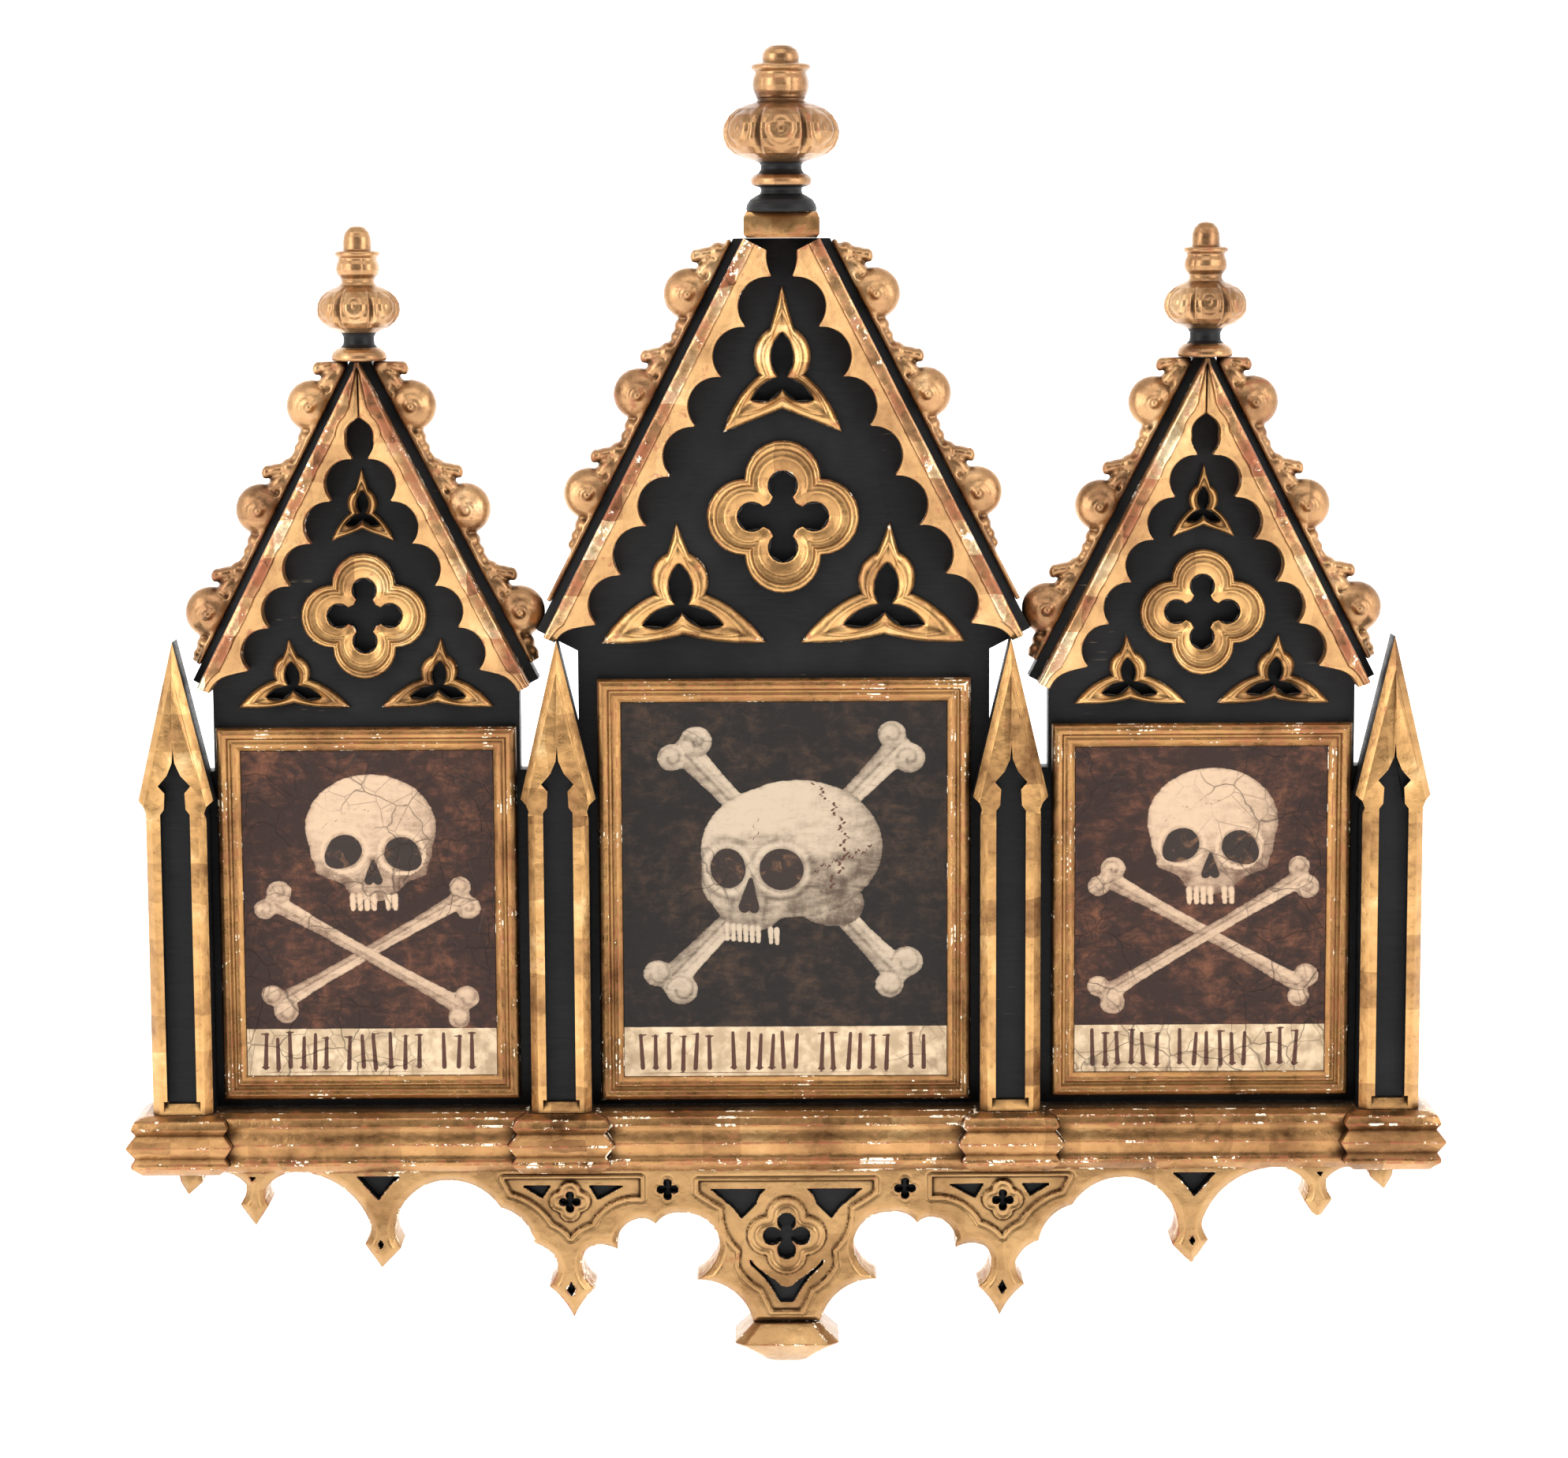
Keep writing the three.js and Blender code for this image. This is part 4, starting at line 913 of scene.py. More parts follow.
def carved_apron():
    """The apron: its carved front and the mirror of it, with walls back to a flat rear."""
    right, inside, black = apron_relief()
    rows, columns = inside.shape
    index = np.arange(rows * columns).reshape(rows, columns)
    mirror = index + rows * columns
    mirror[:, 0] = index[:, 0]
    faces, materials = [], []
    for r in range(rows - 1):
        for c in range(columns - 1):
            kept = [k for k in ((r, c), (r, c + 1), (r + 1, c + 1), (r + 1, c)) if inside[k]]
            if len(kept) < 3:
                continue
            faces.append([index[k] for k in kept])
            faces.append([mirror[k] for k in reversed(kept)])
            materials += [int(any(black[k] for k in kept))] * 2
    right = right.reshape(-1, 3)
    places = np.vstack([right, right * [-1, 1, 1]]) * MM + [0, 0, LEDGE]
    work = bmesh.new()
    made = {i: work.verts.new(places[i]) for i in np.unique(np.concatenate(faces))}
    for face, dark in zip(faces, materials):
        try:
            work.faces.new([made[i] for i in face]).material_index = dark
        except ValueError:
            continue
    rim = [e for e in work.edges if e.is_boundary]
    wall = bmesh.ops.extrude_edge_only(work, edges=rim)["geom"]
    for vert in (v for v in wall if isinstance(v, bmesh.types.BMVert)):
        vert.co.y = 0
    for face in (f for f in wall if isinstance(f, bmesh.types.BMFace)):
        face.material_index = 0
    rear = [e for e in work.edges if e.is_boundary]
    for face in bmesh.ops.holes_fill(work, edges=rear)["faces"]:
        face.material_index = 2
    mesh = settled(work, bpy.data.meshes.new("apron_skin"))
    mark_edges_and_hollows(mesh, 0.32 * MM)
    return mesh


apron = new_piece("carved_apron", carved_apron())
finish_piece(apron, "apron", [APRON_GOLD, EBONY, WOOD], "kept")
shade_by_angle(apron.data, 50.0)


# Turned finials

CENTRE_PROFILE = [
    (0, 0), (26, 0.2), (26.5, 2), (25.8, 5), (23.5, 8.6), (19.5, 11.2), (16, 13), (15.3, 15.5),
    (15.8, 17.6), (19.5, 18.6), (22.3, 19.8), (23, 22.3), (22.6, 24.6), (20.5, 26.8), (17, 28.4),
    (15.4, 31), (15.2, 34), (16.5, 36), (20, 37.4), (27, 39.4), (35, 42.6), (40.5, 47.5),
    (43.4, 53.5), (43.9, 59), (42.6, 65), (39, 71), (32.5, 76), (25, 79.2), (19, 80.8),
    (17.5, 82.4), (18.8, 85), (20.8, 89), (21.5, 93.5), (21, 98), (19.6, 101.5), (19.4, 103.2),
    (21.4, 104.8), (22.4, 106.2), (21.8, 108), (19, 109.2), (14.6, 109.8), (13.6, 110.6), (14, 113),
    (13.6, 116.4), (11.8, 119.6), (8.4, 122), (4, 122.9), (0, 123),
]
WING_PROFILE = [
    (0, 0), (20, 0.2), (20.9, 1.6), (20.8, 3.6), (19.6, 6), (17.2, 8.2), (13.6, 10), (11.9, 12),
    (11.5, 15), (11.7, 18), (13.2, 20.4), (17, 22.4), (22.8, 24.8), (27.6, 28.6), (30.6, 33),
    (31.4, 37.4), (30.9, 42.4), (28.4, 47.4), (24, 51.4), (18, 54.4), (13.8, 56.2), (12.2, 58.8),
    (13, 61.6), (15.6, 64.4), (16.6, 68), (16, 72), (14.6, 75), (14.6, 76.6), (16.4, 78.2),
    (17, 79.6), (16.2, 81.2), (12.4, 82), (10.6, 82.8), (10.6, 88), (10.2, 92), (8.8, 96),
    (5.6, 99.4), (2.4, 100.4), (0, 100.5),
]


FINIAL_SIDES = 168
FINIAL_STEP = 1.1
LOBES = 7


def lobed(radius, angle, height, low, high):
    """Radius of a turned bulb at an angle, carved into lobes between two heights, with a flower above."""
    spread = max(radius, 0.05)
    if low < height < high:
        share = (height - low) / (high - low)
        rise = math.sin(math.pi * share) ** 0.6
        lobe = (angle * LOBES / (2 * math.pi) + 0.5) % 1.0 - 0.5
        valley = math.exp(-((0.5 - abs(lobe)) / 0.07) ** 2)
        oval = math.hypot(lobe / 0.34, (share - 0.56) / 0.34)
        volute = math.exp(-((oval - 0.95) / 0.16) ** 2) + 0.5 * math.exp(-((oval - 0.3) / 0.14) ** 2)
        spread -= rise * radius * (0.13 * valley + 0.05 * volute)
    if high + 4 < height < high + 22:
        spread -= 0.045 * radius * (1 - abs(math.cos(3 * angle + 0.5)) ** 0.6)
    return spread


def finial(part, profile, widest, lobe_low, lobe_high, dark):
    node = f"finial_{part}"
    low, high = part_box(node)
    middle = (low.x + high.x) / 2 / MM
    base = (low.z - LEDGE) / MM
    axis = -low.y / MM - widest
    radii, heights = np.array(profile, float).T
    travel = np.concatenate([[0], np.cumsum(np.hypot(np.diff(heights), np.diff(radii)))])
    stations = np.unique(np.concatenate([travel, np.arange(0, travel[-1], FINIAL_STEP)]))
    rows = []
    for radius, height in zip(np.interp(stations, travel, radii), np.interp(stations, travel, heights)):
        z = base - BEDDING if height < 0.5 else base + height
        ring = []
        for angle in np.arange(FINIAL_SIDES) * (2 * math.pi / FINIAL_SIDES):
            spread = lobed(radius, angle, height, lobe_low, lobe_high)
            ring.append((middle + spread * math.sin(angle), min(-axis - spread * math.cos(angle), 0.0), z))
        rows.append(ring)

    def bands(centres, normals):
        height = centres[:, 2] - base
        index = np.zeros(len(centres))
        for start, end in dark:
            index[(height > start) & (height < end)] = 1
        index[on_the_back(centres, normals, 0.5)] = 2
        return index

    piece = new_piece("carved_" + node, grid_mesh(node + "_skin", rows, bend_reach=0.6))
    finish_piece(piece, node, [CARVED_GOLD, EBONY, WOOD], bands)


finial("centre", CENTRE_PROFILE, 44.0, 37, 81, [(0, 19), (28, 36.5)])
for part in ("left", "right"):
    finial(part, WING_PROFILE, 31.5, 22, 56, [(9.5, 20.8)])


# Crockets


def egg(work, centre, radii, tilt=0.0, turn=0.0):
    """Adds an egg shape, in (out, depth, down) directions of a rake."""
    place = Matrix.Translation(centre) @ Matrix.Rotation(tilt, 4, "Y") @ Matrix.Rotation(turn, 4, "X")
    stretch = Matrix.Diagonal((*radii, 1.0))
    bmesh.ops.create_icosphere(work, subdivisions=3, radius=1.0, matrix=place @ stretch)


def scroll(work, centre, start_radius, turns, thickness):
    """Adds the raised spiral that runs into the eye of a bulb."""
    steps = 26
    for step in range(steps):
        share = step / (steps - 1)
        angle = -2.2 + turns * 2 * math.pi * share
        radius = start_radius * (1 - 0.62 * share)
        bead = thickness * (1 - 0.35 * share)
        depth = centre[1] - 1.5 + 5.0 * (radius / start_radius) ** 2
        place = (centre[0] + radius * math.cos(angle), depth, centre[2] + radius * math.sin(angle))
        egg(work, place, (bead, bead, bead))


def crocket(work, along):
    """Adds a bulb with its scroll, a leaf, and small buds, at a distance down the rake."""
    egg(work, (11, -14, -along), (19.6, 14.0, 19.8))
    scroll(work, (11.5, -26.6, -along - 0.5), 8.6, 0.75, 2.8)
    egg(work, (11.5, -28.0, -along - 1.0), (3.8, 3.6, 3.8))
    egg(work, (7.5, -15, -along + 25), (6.4, 9, 12), -0.32)
    egg(work, (14.0, -15, -along + 32), (9.4, 8, 5.0), 0.7)
    egg(work, (19.5, -16, -along + 27.5), (4.0, 6, 5.4), 0.2)
    egg(work, (6.2, -15, -along + 38), (6.4, 9.4, 7.4), 0.2)
    for offset, size in ((-24, 6.4), (-33, 5.2), (-40.5, 4.2)):
        egg(work, (4.4, -14, -along + offset), (size, size * 1.25, size))


def crocket_row(part, side, label):
    """Three crockets on a strip, cut off at the rake, the gable's top, the wall and the strip's end."""
    gable = GABLES[part]
    node = f"crockets_{part}_{label}"
    edge_x, edge_z = gable_place(gable)(0, -(ROOF_EDGE + STRIP_CLEARANCE))
    edge = Vector((edge_x, 0, edge_z))
    work = bmesh.new()
    middle = (gable["from"] + gable["to"]) / 2
    half = (gable["to"] - gable["from"]) / 2
    strip = Matrix.Translation((1.6, -12, -middle)) @ Matrix.Diagonal((2.0, 11.5, half, 1))
    bmesh.ops.create_cube(work, size=2.0, matrix=strip)
    for i in range(3):
        crocket(work, gable["first"] + i * gable["spacing"])
    lean = Matrix.Rotation(-math.atan2(1, RAKE_SLOPE), 4, "Y")
    place = Matrix.Translation(edge) @ lean
    bmesh.ops.transform(work, matrix=place, verts=work.verts)
    cuts = [
        (edge, lean @ Vector((1, 0, 0))),
        (Vector((0, 0, gable["top"] - STRIP_CLEARANCE)), Vector((0, 0, -1))),
        (Vector((0, 0, 0)), Vector((0, -1, 0))),
        (place @ Vector((0, 0, -gable["to"])), lean @ Vector((0, 0, 1))),
    ]
    for point, keep in cuts:
        cut = bmesh.ops.bisect_plane(
            work, geom=work.verts[:] + work.edges[:] + work.faces[:], plane_co=point, plane_no=-keep,
            clear_outer=True,
        )
        loose = [e for e in cut["geom_cut"] if isinstance(e, bmesh.types.BMEdge)]
        bmesh.ops.holes_fill(work, edges=loose)
    shift = Matrix.Translation((gable["x"] * MM, 0, LEDGE)) @ Matrix.Diagonal((side * MM, MM, MM, 1))
    bmesh.ops.transform(work, matrix=shift, verts=work.verts)
    if side < 0:
        bmesh.ops.reverse_faces(work, faces=work.faces)
    source = bpy.data.meshes.new(node + "_source")
    work.to_mesh(source)
    work.free()
    finish_piece(remeshed(source, "carved_" + node), node, [CARVED_GOLD])


for part in GABLES:
    for side, label in SIDES:
        crocket_row(part, side, label)


# Painted panels: signed distances in mm, positive inside a shape


def ellipse(x, z, cx, cz, rx, rz, turn=0.0):
    c, s = math.cos(turn), math.sin(turn)
    u = ((x - cx) * c + (z - cz) * s) / rx
    v = (-(x - cx) * s + (z - cz) * c) / rz
    return (1 - np.sqrt(u * u + v * v)) * min(rx, rz)


def capsule(x, z, ax, az, bx, bz, ra, rb=None):
    rb = ra if rb is None else rb
    dx, dz = bx - ax, bz - az
    share = np.clip(((x - ax) * dx + (z - az) * dz) / (dx * dx + dz * dz), 0, 1)
    return ra + (rb - ra) * share - np.hypot(x - ax - dx * share, z - az - dz * share)


def join(*shapes):
    return np.maximum.reduce(shapes)


def blend(a, b, soft):
    share = np.clip(0.5 + 0.5 * (a - b) / soft, 0, 1)
    return b + (a - b) * share + soft * share * (1 - share)


class Painting:
    """Fields of one painted panel, from which its shader reads colours."""

    def __init__(self, x, z, band_top):
        self.x, self.z = x, z
        self.bone = np.full_like(x, -50.0)
        self.tone = np.full_like(x, 0.6)
        self.dark = np.full_like(x, -50.0)
        self.ink = np.full_like(x, -50.0)
        self.band = band_top - z

    def lay(self, shape, tone):
        """Paints a pale shape over what is there, with its own modelling."""
        inside = shape > -0.6
        rim = 1 - 0.5 * np.exp(-np.clip(shape, 0, None) / 1.3)
        self.tone = np.where(inside, tone * rim, self.tone)
        self.bone = np.maximum(self.bone, shape)
        self.dark = np.where(inside, np.minimum(self.dark, -shape), self.dark)

    def bone_across(self, ax, az, bx, bz, width, knob):
        """A long bone with a pair of knobs at each end."""
        x, z = self.x, self.z
        length = math.hypot(bx - ax, bz - az)
        dx, dz = (bx - ax) / length, (bz - az) / length
        nx, nz = -dz, dx
        waist = np.clip(np.abs(((x - ax) * dx + (z - az) * dz) / length - 0.5) * 2, 0, 1.2)
        shaft = capsule(x, z, ax, az, bx, bz, width) + 0.42 * width * (waist**3 - 0.35)
        shape = shaft
        knobs = []
        for ex, ez, way in ((ax, az, -1), (bx, bz, 1)):
            for turn, size in ((1, 0.82), (-1, 0.72)):
                out, side = way * knob * (0.15 if turn > 0 else 0.4), turn * knob * 0.74
                knobs.append((ex + dx * out + nx * side, ez + dz * out + nz * side, knob * size))
        for cx, cz, radius in knobs:
            shape = blend(shape, ellipse(x, z, cx, cz, radius, radius * 0.94), 2.6)
        across = ((x - ax) * nx + (z - az) * nz) / width
        flute = 0.3 * np.exp(-((across + 0.2) / 0.14) ** 2) + 0.16 * np.exp(-((across - 0.35) / 0.1) ** 2)
        tone = 0.6 + 0.24 * np.clip(across, -1.2, 1.2) - flute
        for i, (cx, cz, radius) in enumerate(knobs):
            distance = np.hypot(x - cx, z - cz)
            angle = np.arctan2(z - cz, x - cx)
            spiral = np.abs((distance - radius * (0.42 + 0.1 * (angle + 1.3 * i))) / 1.3)
            tone = np.where(distance < radius, 0.62 - 0.3 * np.exp(-spiral**2) + 0.016 * (z - cz), tone)
        self.lay(shape, np.clip(tone, 0.05, 1))

    def carve(self, shape):
        """Darkens a socket or gap, and shades the bone round it."""
        self.dark = np.maximum(self.dark, shape)
        self.tone = self.tone * (1 - 0.35 * np.exp(-np.clip(-shape, 0, None) / 2.2))

    def shade(self, shape, strength, offset, spread):
        """Darkens a soft band at a distance outside a shape."""
        self.tone = self.tone * (1 - strength * np.exp(-(((shape + offset) / spread) ** 2)))

    def draw(self, shape):
        self.ink = np.maximum(self.ink, shape)

    def teeth(self, ax, az, bx, bz, count, height, gaps=()):
        x, z = self.x, self.z
        step_x, step_z = (bx - ax) / count, (bz - az) / count
        for i in range(count):
            if i in gaps:
                continue
            cx, cz = ax + step_x * (i + 0.5), az + step_z * (i + 0.5)
            tooth = capsule(x, z, cx, cz, cx + 0.4, cz - height, abs(step_x) * 0.43, abs(step_x) * 0.36)
            self.bone = np.maximum(self.bone, tooth)
            pale = 0.92 * (1 - 0.55 * np.exp(-np.clip(tooth, 0, None) / 0.7))
            self.tone = np.where(tooth > -0.3, pale, self.tone)


def dome_tone(x, z, cx, cz, rx, rz):
    """Light from the upper left on a rounded form."""
    u, v = (x - cx) / rx, (z - cz) / rz
    w = np.sqrt(np.clip(1 - u * u - v * v, 0.02, 1))
    return np.clip(0.3 + 0.28 * w - 0.16 * u + 0.3 * v + 0.12, 0.15, 1)


def stroke_row(picture, half, base, height, seed):
    """A row of separate brush strokes where an inscription would be; none of them makes a letter."""
    draw = np.random.default_rng(seed)
    x = -half
    run = 0
    while x < half:
        lean = draw.uniform(-0.07, 0.07)
        rise = height * draw.uniform(0.86, 1.0)
        foot = base + draw.uniform(-0.8, 1.0)
        picture.draw(capsule(picture.x, picture.z, x, foot, x + lean * rise, foot + rise, 1.9, 1.4))
        for end in (foot, foot + rise):
            if draw.uniform() < 0.5:
                picture.draw(capsule(picture.x, picture.z, x - 2.8, end, x + 2.8, end + 0.3, 0.7))
        run += 1
        x += draw.uniform(8.5, 12.0)
        if run % 6 == 0:
            x += 8.0
    picture.draw(capsule(picture.x, picture.z, -half, base - 3.6, half, base - 3.2, 0.3))


def turned_skull(p, cx, cz):
    """Skull seen from its left front, looking down to the left."""
    x, z = p.x - cx, p.z - cz
    p.lay(ellipse(x, z, 34, -9, 27, 19, -0.15), dome_tone(x, z, 34, -4, 30, 30) - 0.22)
    cranium = blend(ellipse(x, z, 8, 32, 67, 53, 0.06), ellipse(x, z, -22, 30, 42, 44), 6)
    face = blend(ellipse(x, z, -34, 8, 30, 27), ellipse(x, z, -27, -15, 24, 17, -0.1), 6)
    arch = capsule(x, z, -6, -4, 44, 8, 8.5, 4.5)
    shape = blend(blend(cranium, face, 6), arch, 4)
    hollow = np.exp(-((ellipse(x, z, 30, 14, 22, 7, 0.2) + 3) / 4) ** 2)
    p.lay(shape, dome_tone(x, z, 0, 30, 74, 66) - 0.22 * hollow)
    for sx, sz, rx, rz, turn in ((-43.5, 17, 13.5, 15.5, 0.12), (-2.5, 16, 17, 16, -0.08)):
        rim = ellipse(x, z, sx, sz, rx + 4.5, rz + 4.5, turn)
        p.tone = p.tone + 0.2 * np.exp(-(((rim - 1.2) / 1.5) ** 2))
        p.tone = p.tone - 0.2 * np.exp(-(((rim + 2.6) / 2.0) ** 2))
        p.carve(ellipse(x, z, sx, sz, rx, rz, turn))
    p.carve(join(capsule(x, z, -26, 8, -31, -13, 1.8, 4.6), capsule(x, z, -26, 8, -23.5, -14, 1.6, 4.0)))
    p.shade(capsule(x, z, 6, -13, 42, -3, 0.5), 0.5, 2.0, 3.4)
    p.shade(capsule(x, z, 26, 14, 40, 2, 0.5), 0.42, 3.0, 5.0)
    p.shade(capsule(x, z, -50, 38, 2, 40, 0.5), 0.3, 1.0, 4.0)
    bridge = capsule(x, z, -25, 26, -26, 10, 0.8)
    p.tone = p.tone + 0.16 * np.exp(-((bridge / 2.2) ** 2))
    for crease_x in (-40, -14):
        p.shade(capsule(x, z, crease_x, -8, crease_x - 3, -26, 0.4), 0.4, 0.0, 1.4)
    p.teeth(cx - 47, cz - 27, cx - 4, cz - 31, 9, 10.5, gaps=(6,))
    crown = x - 46 + 0.011 * (z - 36) ** 2
    wander = 2.6 * np.sin(z * 0.5) + 1.3 * np.sin(z * 1.6)
    seam = np.minimum(1.15 - np.abs(crown - wander), np.minimum(z + 2, 84 - z))
    branch = 1.0 - np.abs(z - 22 - 0.4 * (x - 40) - 2.0 * np.sin(x * 0.7) - np.sin(x * 1.9))
    branch = np.minimum(branch, np.minimum(x - 22, 68 - x))
    brow = np.minimum(0.5 - np.abs(x + 22 - 2.2 * np.sin(z * 0.6)), np.minimum(z - 34, 60 - z))
    p.draw(np.minimum(join(seam, branch, brow), shape))


def facing_skull(p, cx, cz, turn):
    """Skull seen nearly from the front."""
    x, z = p.x - cx, p.z - cz
    cranium = blend(ellipse(x, z, 0, 7, 50, 41), ellipse(x, z, 0, -11, 42, 22), 6)
    cheeks = join(
        capsule(x, z, -22, -30, -38, -25, 6, 5), capsule(x, z, 22, -31, 38, -26, 6, 5),
        capsule(x, z, -38, -25, -41, -14, 4, 4), capsule(x, z, 38, -26, 42, -14, 4, 4),
    )
    shape = blend(blend(cranium, cheeks, 4), ellipse(x, z, turn, -36, 22, 14), 5)
    tone = dome_tone(x, z, 0, 4, 56, 60)
    tone = tone - 0.25 * np.exp(-((ellipse(x, z, -30, -36, 9, 6) + 1) / 3) ** 2)
    p.lay(shape, tone - 0.25 * np.exp(-((ellipse(x, z, 30, -37, 9, 6) + 1) / 3) ** 2))
    for way in (-1, 1):
        sx, sz = way * 22 + turn, -12 - way
        rim = ellipse(x, z, sx, sz, 17, 16, -0.25 * way)
        p.tone = np.where(np.abs(rim) < 1.4, 0.9, p.tone)
        hole = ellipse(x, z, sx, sz, 13.5, 12.5, -0.25 * way)
        p.carve(blend(hole, ellipse(x, z, sx + way * 4.5, sz - 4.5, 11.0, 9.0, -0.4 * way), 3))
    p.carve(join(
        capsule(x, z, turn, -19, turn - 3.6, -34, 1.5, 3.4),
        capsule(x, z, turn, -19, turn + 3.6, -34, 1.5, 3.4),
    ))
    p.teeth(cx - 19 + turn, cz - 46, cx + 19 + turn, cz - 46, 7, 10, gaps=(4,))
    wander = 2.0 * np.sin(x * 0.5) + 1.0 * np.sin(x * 1.3)
    seam = np.minimum(0.45 - np.abs(z - 22 + 0.012 * x * x - wander), 36 - np.abs(x + 4))
    p.draw(np.minimum(seam, shape) * 0.7)


PANEL_GRID = 1.25


def painted_panel(part, band_height, compose, material, seed):
    """A panel with a fine front, whose points carry the painting, and a plain back."""
    node = f"painting_{part}"
    low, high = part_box(node)
    width, height = (high.x - low.x) / MM, (high.z - low.z) / MM
    columns, rows = int(width / PANEL_GRID), int(height / PANEL_GRID)
    xs = np.linspace(-width / 2, width / 2, columns + 1)
    zs = np.linspace(-height / 2, height / 2, rows + 1)
    across, up = np.meshgrid(xs, zs)
    picture = Painting(across, up, -height / 2 + band_height)
    compose(picture)
    stroke_row(picture, width / 2 - 14, -height / 2 + 6.0, band_height * 0.74, seed)
    relief = 0.12 * np.sin(across * 0.02 + seed) * np.cos(up * 0.017)
    front = low.y + (0.25 - relief * 0.5) * MM
    middle = [(high.x + low.x) / 2, 0, (high.z + low.z) / 2]
    points = (np.stack([across * MM, front, up * MM], -1) + middle).reshape(-1, 3)
    index = np.arange(len(points)).reshape(rows + 1, columns + 1)
    faces = np.stack([index[:-1, :-1], index[:-1, 1:], index[1:, 1:], index[1:, :-1]], -1)
    faces = faces.reshape(-1, 4).tolist()
    rim = [*index[0], *index[1:, -1], *index[-1, -2::-1], *index[-2:0:-1, 0]]
    back = points[rim] * [1, 0, 1] + [0, high.y, 0]
    behind = [len(points) + i for i in range(len(rim))]
    for i in range(len(rim)):
        j = (i + 1) % len(rim)
        faces.append((rim[i], behind[i], behind[j], rim[j]))
    faces.append(tuple(behind))
    mesh = bpy.data.meshes.new(node + "_skin")
    mesh.from_pydata(np.vstack([points, back]).tolist(), [], faces)
    for name in ("bone", "tone", "dark", "ink", "band"):
        values = np.concatenate([getattr(picture, name).ravel(), np.full(len(rim), -5.0)])
        layer = mesh.attributes.new(name, "FLOAT", "POINT")
        layer.data.foreach_set("value", values.astype(np.float32))
    work = bmesh.new()
    work.from_mesh(mesh)
    piece = new_piece("painted_" + node, settled(work, mesh))
    finish_piece(piece, node, [material], smooth=False)


def compose_centre(p):
    p.bone_across(-74, 106, 84, -62, 8.5, 15.0)
    p.bone_across(86, 108, -86, -68, 8.5, 15.0)
    turned_skull(p, 0, 0)


def compose_left(p):
    p.bone_across(70, 11, -68, -68, 5.6, 11.5)
    p.bone_across(-72, 9, 68, -72, 5.6, 11.5)
    facing_skull(p, 2, 60, 1.5)


def compose_right(p):
    p.bone_across(-70, 24, 76, -58, 5.6, 11.5)
    p.bone_across(76, 24, -70, -64, 5.6, 11.5)
    facing_skull(p, 9, 62, -1.5)


DARK_OIL = oil_paint("centre_oils", (22, 17, 15), (66, 48, 35), (168, 151, 130), (72, 58, 47), 0.3)
WARM_OIL = oil_paint("wing_oils", (40, 24, 19), (104, 64, 44), (180, 154, 128), (84, 60, 47), 0.9)
painted_panel("centre", 38.5, compose_centre, DARK_OIL, 3)
painted_panel("left", 36.5, compose_left, WARM_OIL, 5)
painted_panel("right", 36.5, compose_right, WARM_OIL, 8)


# Stage, light and camera


STAGE_FLOOR = -0.95
STAGE_FRONT = -6.0
STAGE_WALL = 5.2
STAGE_BEND = 0.8
STAGE_HALF = 9.0
STAGE_TOP = 8.0


def plain_stage():
    """A pale floor that curves up into a pale wall, well behind and below."""
    n = Nodes("pale_stage")
    n.set("Base Color", (0.9, 0.9, 0.9, 1.0))
    n.set("Roughness", 0.9)
    n.set("Emission Color", (1.0, 1.0, 1.0, 1.0))
    n.set("Emission Strength", 1.0)
    curve = [(STAGE_FRONT, STAGE_FLOOR)]
    for angle in np.linspace(0, math.pi / 2, 9):
        y = STAGE_WALL - STAGE_BEND * (1 - math.sin(angle))
        curve.append((y, STAGE_FLOOR + STAGE_BEND * (1 - math.cos(angle))))
    curve.append((STAGE_WALL, STAGE_TOP))
    points = [(x, y, z) for y, z in curve for x in (-STAGE_HALF, STAGE_HALF)]
    faces = [(2 * i, 2 * i + 1, 2 * i + 3, 2 * i + 2) for i in range(len(curve) - 1)]
    mesh = bpy.data.meshes.new("stage")
    mesh.from_pydata(points, [], faces)
    mesh.materials.append(n.material)
    new_piece("stage", mesh)


def area_light(name, place, size, power):
    """A soft box that shines on the object."""
    light = bpy.data.lights.new(name, "AREA")
    light.shape = "RECTANGLE"
    light.size, light.size_y = size
    light.energy = power
    lamp = new_piece(name, light)
    lamp.location = place
    lamp.rotation_euler = (-Vector(place)).to_track_quat("-Z", "Y").to_euler()


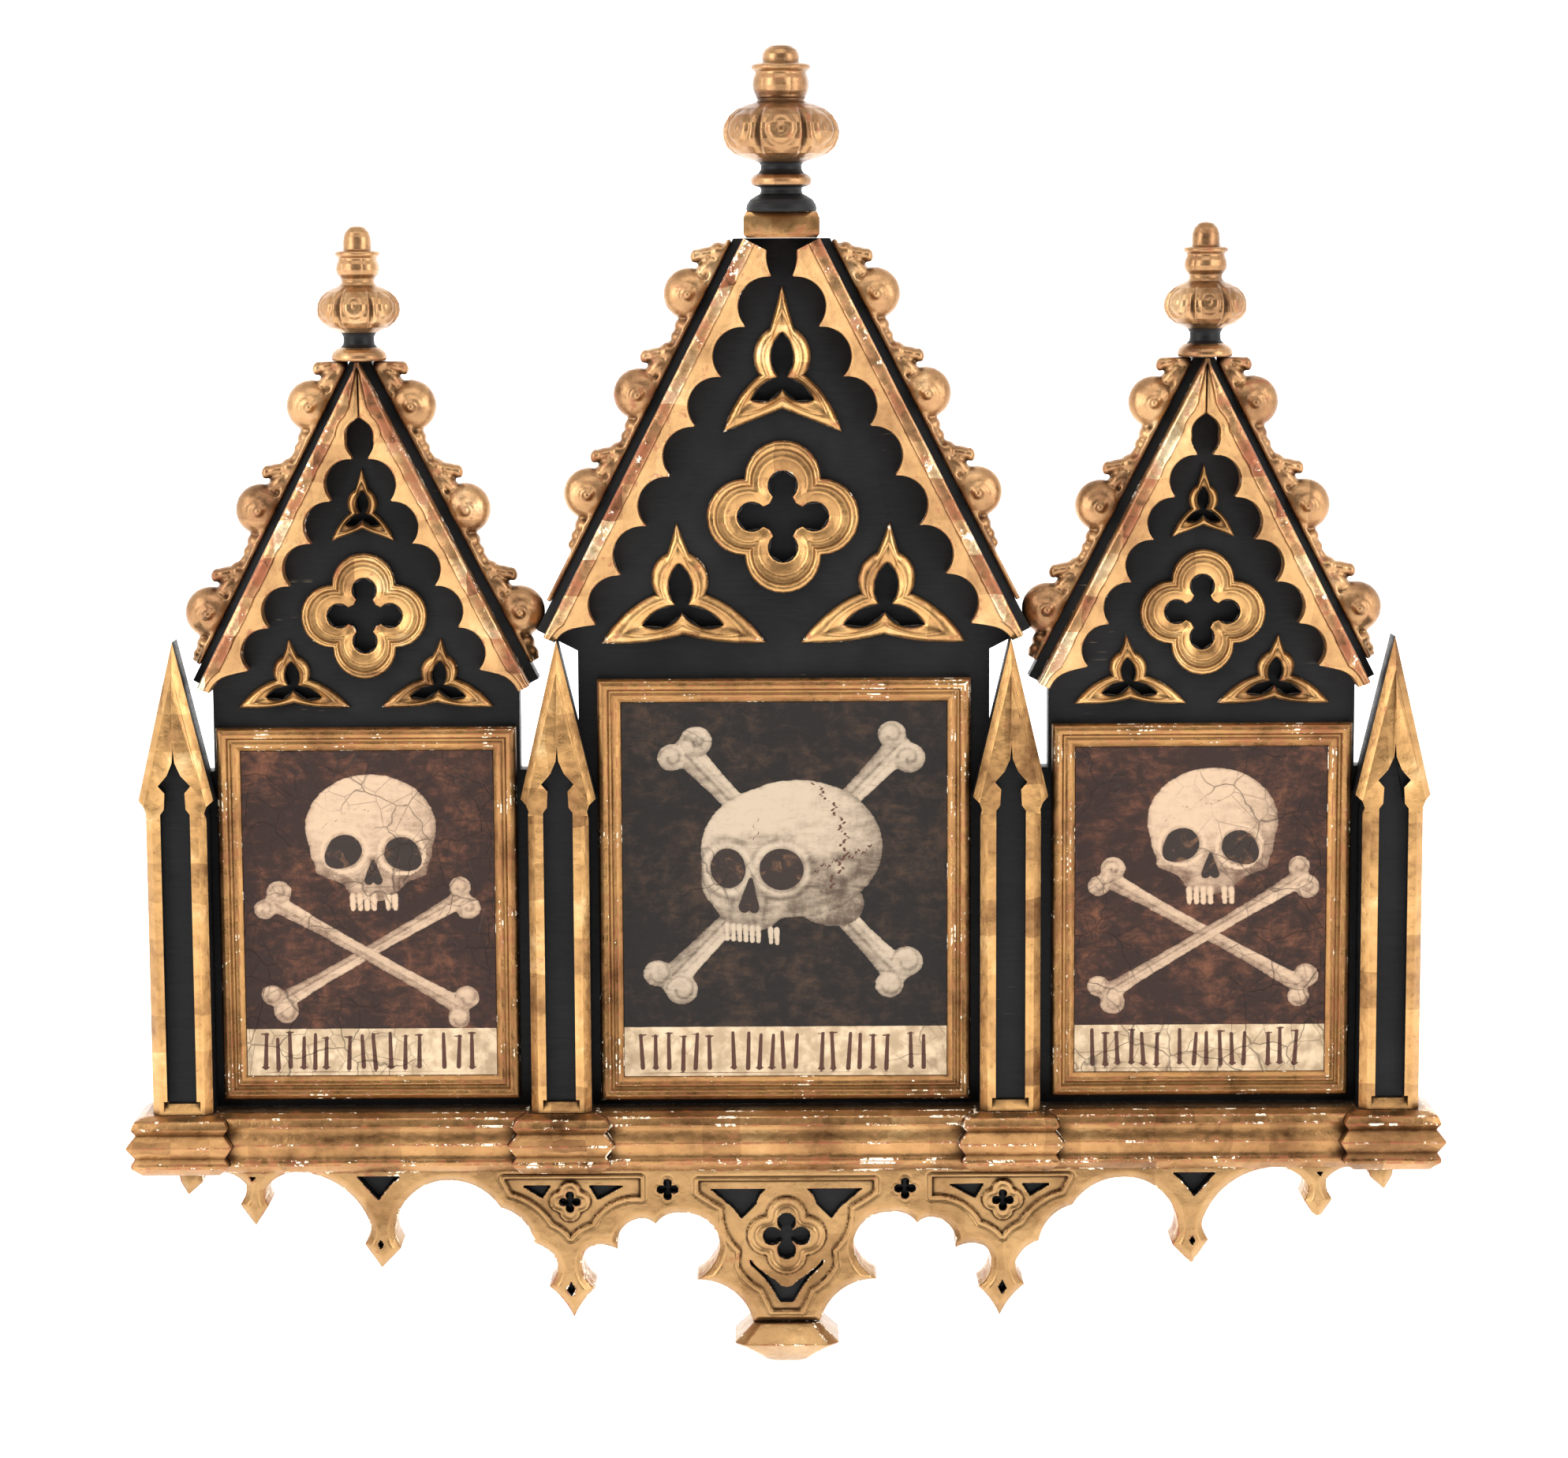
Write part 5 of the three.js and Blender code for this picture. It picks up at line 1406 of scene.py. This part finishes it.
plain_stage()
area_light("left_box", (-2.2, -1.7, 0.7), (1.3, 2.2), 48.0)
area_light("right_box", (2.2, -1.7, 0.7), (1.3, 2.2), 42.0)
area_light("top_box", (0.0, -1.5, 2.3), (2.4, 1.0), 18.0)


def studio_world():
    """White walls on the left and right, a paler ceiling, and a darker room in front of the object."""
    world = bpy.data.worlds.new("studio")
    world.use_nodes = True
    tree = world.node_tree

    def ramp(source, low, high, dark, bright):
        node = tree.nodes.new("ShaderNodeMapRange")
        node.interpolation_type = "SMOOTHSTEP"
        tree.links.new(source, node.inputs[0])
        for number, value in enumerate((low, high, dark, bright), 1):
            node.inputs[number].default_value = value
        return node.outputs[0]

    place = tree.nodes.new("ShaderNodeTexCoord")
    axes = tree.nodes.new("ShaderNodeSeparateXYZ")
    tree.links.new(place.outputs["Generated"], axes.inputs[0])
    sideways = tree.nodes.new("ShaderNodeMath")
    sideways.operation = "ABSOLUTE"
    tree.links.new(axes.outputs[0], sideways.inputs[0])
    total = tree.nodes.new("ShaderNodeMath")
    total.operation = "ADD"
    tree.links.new(ramp(sideways.outputs[0], 0.5, 0.92, 0.3, 1.7), total.inputs[0])
    tree.links.new(ramp(axes.outputs[2], 0.35, 0.9, 0.0, 0.8), total.inputs[1])
    tree.links.new(total.outputs[0], tree.nodes["Background"].inputs[1])
    tree.nodes["Background"].inputs[0].default_value = (1.0, 0.985, 0.96, 1.0)
    return world


bpy.context.scene.world = studio_world()
bpy.context.scene.view_settings.view_transform = "Standard"

CAMERA_DISTANCE = 2.989
CAMERA_ABOVE_LEDGE = 0.679
PITCH = math.radians(7.37)
ROLL = math.radians(-0.29)
LENS = 90.5
SENSOR = 36.0
camera_data = bpy.data.cameras.new("camera")
camera_data.lens = LENS
camera_data.sensor_width = SENSOR
camera = new_piece("camera", camera_data)
camera.matrix_world = (
    Matrix.Translation((0, -BOARD_FRONT * MM - CAMERA_DISTANCE, LEDGE + CAMERA_ABOVE_LEDGE))
    @ Matrix.Rotation(math.pi / 2 - PITCH, 4, "X") @ Matrix.Rotation(ROLL, 4, "Z")
)
bpy.context.scene.camera = camera
